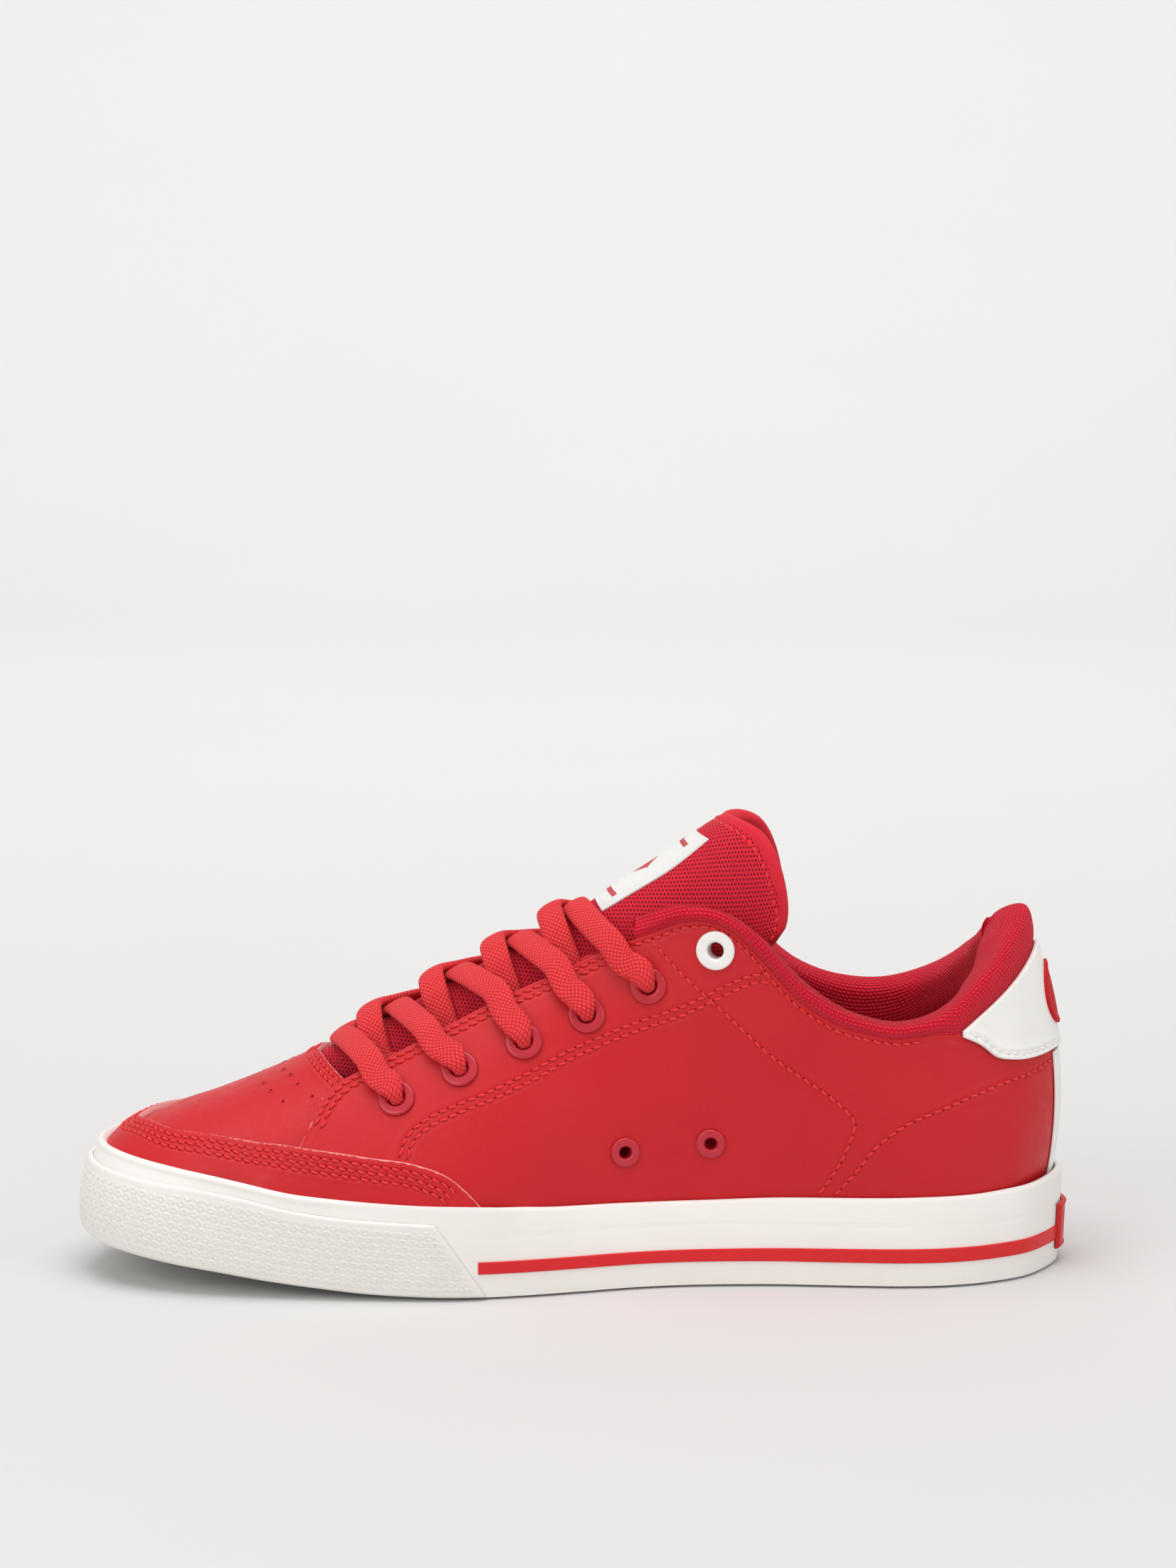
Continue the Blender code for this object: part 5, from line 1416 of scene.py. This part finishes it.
def build_heel(mats):
    s = round_heel(0.9475, 110)[:, None]
    rows = marks(0.6, 40)[None, :]
    low = line_at(TAB_LOWER, np.abs(s))
    high = line_at(TAB_EDGE, np.abs(s)) + 0.004
    grid_s = s + np.zeros_like(rows)
    grid_t = low + (high - low) * rows
    seams = [clip_line(beside_line(edge, -side * 1.8), 3, 0)
             for side, edge in both_sides(TAB_LOWER)]
    lines = [skin(r[:, 0], r[:, 1], GAP + OVERLAY_THICK) for r in seams]
    lip = 0.25 * (1 - ease(0, 0.09, grid_t - low))
    face = GAP + OVERLAY_THICK + lip
    obj = leather_panel("heel_tab_leather", grid_s, grid_t, face, OVERLAY_THICK + 0.3,
                        [mats["white"], mats["white"]], BORDERS, lines)
    settle("heel_tab")
    # Discs of painted hole shade for the white stitches take the pale foam colour.
    seam("heel_tab_stitches", mats, seams, [GAP + OVERLAY_THICK + 0 * r[:, 0] for r in seams],
         mat="white_thread", hole_shade="foam")
    s = round_heel(0.9935, 30)[:, None]
    rise = marks(0.6, 36, low=False, high=False)[None, :]
    t = BACKSTAY_LOW + (TAB_LOWER[-1][1] - 0.004 - BACKSTAY_LOW) * rise
    obj = leather_panel("backstay_leather", s + 0 * t, t + 0 * s, GAP + 0.55 + 0 * (s + t), 0.8,
                        [mats["white"], mats["white"]], ("left", "right"))
    settle("backstay")
    build_emblem(mats)


def build_emblem(mats):
    """Plain oval woven badge with a raised rim."""
    angle = np.linspace(0, 2 * math.pi, 97)[:, None]
    radius = np.array([1.0, 1.0, 0.985, 0.95, 0.88, 0.83, 0.80, 0.7, 0.5, 0.25, 0.0])[None, :]
    height = np.array([-0.3, 0.35, 0.6, 0.72, 0.72, 0.62, 0.42, 0.42, 0.46, 0.5, 0.5])[None, :]
    s = 1 + EMBLEM_SHOWN * EMBLEM_SIZE[0] * np.cos(angle) * radius
    s = np.where(s > 1, s - 2, s)
    t = EMBLEM_UP + EMBLEM_SIZE[1] * np.sin(angle) * radius
    base = GAP + OVERLAY_THICK + 0.35
    points = skin(s, t, base + height)
    size = np.array([7.5, 9.0])
    mm = np.stack([np.cos(angle) * radius * size[0], np.sin(angle) * radius * size[1]], -1)
    make_piece("heel_badge", [sheet_part(points, 0, mm)], mats["badge"], "heel_emblem", "red_patch")


def build_eyelets(mats):
    for side, label in ((-1, "medial"), (1, "lateral")):
        for k, (s, t) in enumerate(EYELETS, 1):
            white = k == len(EYELETS)
            face = float(quarter_face(s))
            radius = EYELET_FLANGE - (0.1 if white else 0.45)
            node = f"lace_eyelet_{label}_{k}"
            obj = eyelet(f"eyelet_ring_{label}_{k}", side, (s, t), radius, EYELET_BORE, face,
                         mats["white_eyelet" if white else "eyelet"])
            settle(node)
    for k, place in enumerate(VENTS, 1):
        obj = eyelet(f"vent_ring_{k}", -1, place, VENT_FLANGE, VENT_BORE, QUARTER_FLUSH,
                     mats["eyelet"])
        settle(f"vent_eyelet_{k}")


def eyelet(name, side, place, flange, bore, face, mat):
    s, t = place
    turn = np.linspace(0, math.pi / 2, 7)
    rim = [(flange - 0.75 + 0.75 * math.sin(a), face + 0.5 + 0.7 * math.cos(a)) for a in turn]
    funnel = [(bore + 0.9 - 0.9 * math.sin(a), face + 0.35 + 0.9 * math.cos(a)) for a in turn]
    profile = [(bore, -4.9)] + funnel[::-1] + rim + [(flange - 0.3, face + 0.1),
                                                     (bore + 0.6, face + 0.1), (bore + 0.6, -4.9)]
    return lathe(name, skin(side * s, t), normal(side * s, t), profile, mat)


# ---- collar, tongue and lace -------------------------------------------------------
def build_collar(mats):
    s = round_heel(COLLAR_START, 430)
    rows = collar_skin(s)
    piping = 1 - ease(0.80, 0.9, np.abs(s))
    grown = ease(COLLAR_START, COLLAR_FULL, np.abs(s))[:, None]
    _, _, tilt, _, out, _ = spokes(s)
    outward = np.concatenate([out * np.sin(tilt)[:, None], np.cos(tilt)[:, None]], 1)
    sideways = np.concatenate([out, 0 * tilt[:, None]], 1)
    rows[:, 0] = skin(s, top_line(s) - 0.004, -0.3)
    rows[:, 1] += sideways * 0.9 * (0.4 + piping)[:, None] * grown
    rows[:, 2] += (sideways * 0.9 + np.array([0, 0, 0.9])) * (0.4 + 0.6 * piping)[:, None] * grown
    rows[:, 3] += outward * 0.8 * grown
    rows[:, 1:5, 2:] -= 2.2 * (1 - grown[:, None])
    step = np.linalg.norm(np.diff(rows, axis=1), axis=-1).mean(0)
    knots = np.concatenate([[0], np.cumsum(step)])
    at = np.linspace(0, knots[-1], 110)
    flat = smooth(knots, rows.transpose(1, 0, 2).reshape(len(knots), -1), at)
    face = flat.reshape(len(at), len(s), 3).transpose(1, 0, 2)
    depth = (COLLAR_SKIN * (0.5 + 0.5 * ease(0.77, 0.86, np.abs(s))))[:, None]
    mm = np.stack([run_of(face, 0), run_of(face, 1)], -1)
    soft = 0.25 * wobble(mm[..., 0] + 3 * wobble(mm[..., 1], 9.0, 2.0), 13.0, 1.0)
    soft = soft * ease(4, 10, mm[..., 1]) * ease(4, 10, mm[..., 1][:, -1:] - mm[..., 1])
    face = inward(face, -soft[..., None] * 0.8)
    parts = [sheet_part(face, 0, mm)] + close_shell(face, inward(face, depth[..., None]), slot=0)
    obj = make_piece("collar_knit", parts, mats["knit"], "collar_lining", "crimson_knit")


def build_tongue(mats):
    """One padded tongue."""
    b = np.linspace(-1, 1, TONGUE_COLS)[:, None]
    b = np.sign(b) * np.abs(b) ** 0.9
    share = marks(1.3, 165, low=False)[None, :]
    a = tongue_top(b) * share
    wide = b + 0 * a
    front = tongue(a, wide, 0.0)
    gap = edge_distance(front, ("left", "right", "high"))
    sides = edge_distance(front, ("left", "right"))
    tip = edge_distance(front, ("high",))
    lane = np.minimum(sides, BAND_AT_TIP * tip)
    drop = rounding(gap, 2.3)
    channel = 0.6 * np.exp(-(((lane - BAND_WIDTH) / 0.75) ** 2))
    puff = 0.5 * ease(BAND_WIDTH, BAND_WIDTH + 6, lane)
    face = tongue(a, wide, puff - drop - channel)
    back = tongue(a, wide, -TONGUE_THICK + drop)
    mid = TONGUE_COLS // 2
    mm = np.stack([run_of(front, 0) - run_of(front, 0)[mid:mid + 1], run_of(front, 1)], -1)
    middle = (lane[:-1, :-1] + lane[1:, 1:]) / 2
    slot = np.where(middle < BAND_WIDTH, 1, 0)
    wrap = np.where(middle < BAND_WIDTH + 2.5, 1, 2)[:, ::-1]
    parts = [sheet_part(face, slot, mm), sheet_part(back[:, ::-1], wrap, mm[:, ::-1])]
    mix = np.linspace(0, 1, 4)[None, :, None]
    for end in (np.s_[0], np.s_[-1], np.s_[:, 0], np.s_[:, -1]):
        border = face[end][:, None] * (1 - mix) + back[end][:, None] * mix
        parts.append(sheet_part(border, 1, np.repeat(mm[end][:, None], 4, 1)))
    obj = make("tongue_padded", parts, [mats["mesh"], mats["twill"], mats["back"]], None,
               smooth_angle=70)
    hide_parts("tongue_base", "tongue_cover", "tongue_foam", "tongue_lining",
                "tongue_binding")
    start = world(tongue(TONGUE_HINGE - 0.012, 0.0))
    end = world(tongue(TONGUE_HINGE + 0.05, 0.0))
    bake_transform(obj)
    tongue_stitches(mats, lane, a, wide, BAND_WIDTH + 1.0)
    build_label(mats)


def first_past(level, values, *grids):
    """Where values first rise past level, read off each of the grids."""
    k = max(1, int(np.argmax(values >= level)))
    u = (level - values[k - 1]) / max(values[k] - values[k - 1], 1e-6)
    return [grid[k - 1] + (grid[k] - grid[k - 1]) * u for grid in grids]


def tongue_stitches(mats, lane, a, b, level):
    """The row beside the binding, up one side, over the tip and down the other."""
    mid = TONGUE_COLS // 2
    low = int(np.argmax(a[mid] > TONGUE_HINGE + 0.02))
    half = slice(mid + 1)
    up_side = []
    for j in range(low, a.shape[1]):
        if np.argmax(lane[half, j] >= level) > TURN_COL or lane[half, j].max() < level:
            break
        up_side.append(first_past(level, lane[half, j], a[half, j], b[half, j]))
    over = [first_past(level, lane[i, ::-1], a[i, ::-1], b[i, ::-1])
            for i in range(TURN_COL + 1, TONGUE_COLS - 1 - TURN_COL)]
    down_side = [(along, -across) for along, across in up_side[::-1]]
    path = np.array(up_side + over + down_side)
    base = tongue(path[:, 0], path[:, 1], 0.0)
    up = tongue(path[:, 0], path[:, 1], 1.0) - base
    # Second material: dark discs of painted shade in the stitch holes.
    obj = stitches("tongue_stitches", [(base - 0.1 * up, up)], [mats["thread"], mats["hole_shade"]],
                   pitch=2.8, radius=0.40, lean=0.3, body="tongue_top")


def build_label(mats):
    b = np.linspace(-1, 1, 60)[:, None] * LABEL_HALF
    low, high = LABEL_SPAN
    a = low + (high - low) * marks(0.6, 38)[None, :]
    flat = tongue(a, b, 0.35)
    along, up = run_of(flat, 0), run_of(flat, 1)
    mm = np.stack([along - along[-1:] / 2, up - up[:, -1:] / 2], -1)
    gap = edge_distance(flat, BORDERS)
    pulled = 0.16 * np.exp(-(((gap - 1.1) / 0.5) ** 2))
    outer = tongue(a, b, 1.0 - rounding(gap, 0.35) - pulled)
    inner = tongue(a, b, 0.25)
    parts = [sheet_part(outer, 0, mm)] + close_shell(outer, inner, slot=0)
    make_piece("tongue_tag", parts, mats["label"], "tongue_label", "white_leather",
               body="tongue_top")


def build_lace(mats):
    points, ups, wide = lace_frames()
    run = path_run(points)
    at = np.arange(0, run[-1], 0.5)
    fine = smooth(run, np.concatenate([points, unit(ups), wide[:, None]], 1), at)
    kernel = np.exp(-(np.arange(-7, 8) / 2.4) ** 2 / 2)
    kernel /= kernel.sum()
    padded = np.concatenate([np.repeat(fine[:1], 7, 0), fine, np.repeat(fine[-1:], 7, 0)])
    soft = np.stack([np.convolve(padded[:, k], kernel, "valid") for k in range(7)], 1)
    centre, up, width = soft[:, :3], soft[:, 3:6], np.clip(1.25 * soft[:, 6], 0, 1)
    along = unit(np.gradient(centre, axis=0))
    up = unit(up - along * (up * along).sum(1, keepdims=True))
    flat = np.cross(along, up)
    half_w, half_h = ((squeezed + (flat_ - squeezed) * width) / 2
                      for squeezed, flat_ in zip(LACE_SQUEEZED, LACE_FLAT))
    sides = 28
    angle = 2 * math.pi * np.arange(sides + 1) / sides
    c, d = np.cos(angle), np.sin(angle)
    c, d = np.sign(c) * np.abs(c) ** 0.85, np.sign(d) * np.abs(d) ** 0.85
    ring = (centre[:, None] + flat[:, None] * (half_w[:, None] * c)[..., None]
            + up[:, None] * (half_h[:, None] * d)[..., None])
    length = path_run(centre)
    girth = run_of(ring, 1)
    mm = np.stack([length[:, None] + 0 * girth, girth], -1)
    parts = [sheet_part(ring, 0, mm)]
    for end in (0, -1):
        cap = centre[end] + (ring[end] - centre[end]) * np.linspace(1, 0, 4)[:, None, None]
        parts.append(sheet_part(cap))
    obj = make("lace_braid", parts, mats["lace"], "shoe", smooth_angle=80)
    tips = [build_aglet(mats, label, centre[end], centre[end] - centre[inner])
            for label, end, inner in (("lateral", 0, 6), ("medial", -1, -7))]
    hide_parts("lace")


def build_aglet(mats, label, end, heading):
    """Film-wrapped lace tip."""
    r, far = AGLET_RADIUS, AGLET_LENGTH
    profile = [(0, 0.1), (r - 0.3, 0.1), (r - 0.05, 0.4), (r, 0.9), (r - 0.15, 1.6),
               (r - 0.2, far * 0.5), (r - 0.2, far - 1.2), (r - 0.35, far - 0.4),
               (r - 0.7, far - 0.05), (0, far)]
    axis = unit(heading)
    obj = lathe("lace_tip_" + label, end + axis * 0.2, axis, profile, mats["plastic"])
    settle("aglet_" + label)
    return obj


# ---- carried-over pieces -------------------------------------------------------------
CARRIED = {
    "midsole": "sock", "insole_board": "sock", "sockliner": "sock", "vamp_lining": "lining",
    "toe_puff": "board", "quarter_lining_medial": "lining", "quarter_lining_lateral": "lining",
    "eyestay_backing_medial": "lining", "eyestay_backing_lateral": "lining",
    "collar_foam": "foam", "heel_counter": "lining",
}


def paint_carried(mats):
    for node, mat in CARRIED.items():
        obj = frame["nodes"][node]
        for slot in obj.material_slots:
            slot.material = mats[mat]


mats = make_materials()
make_camera()
build_lace(mats)
make_stage()
paint_carried(mats)
build_foxing(mats)
build_bumper(mats)
build_tapes(mats)
build_outsole(mats)
build_vamp(mats)
build_mudguard(mats)
build_quarter(-1, "medial", mats)
build_quarter(1, "lateral", mats)
build_eyelets(mats)
build_heel(mats)
build_collar(mats)
build_tongue(mats)
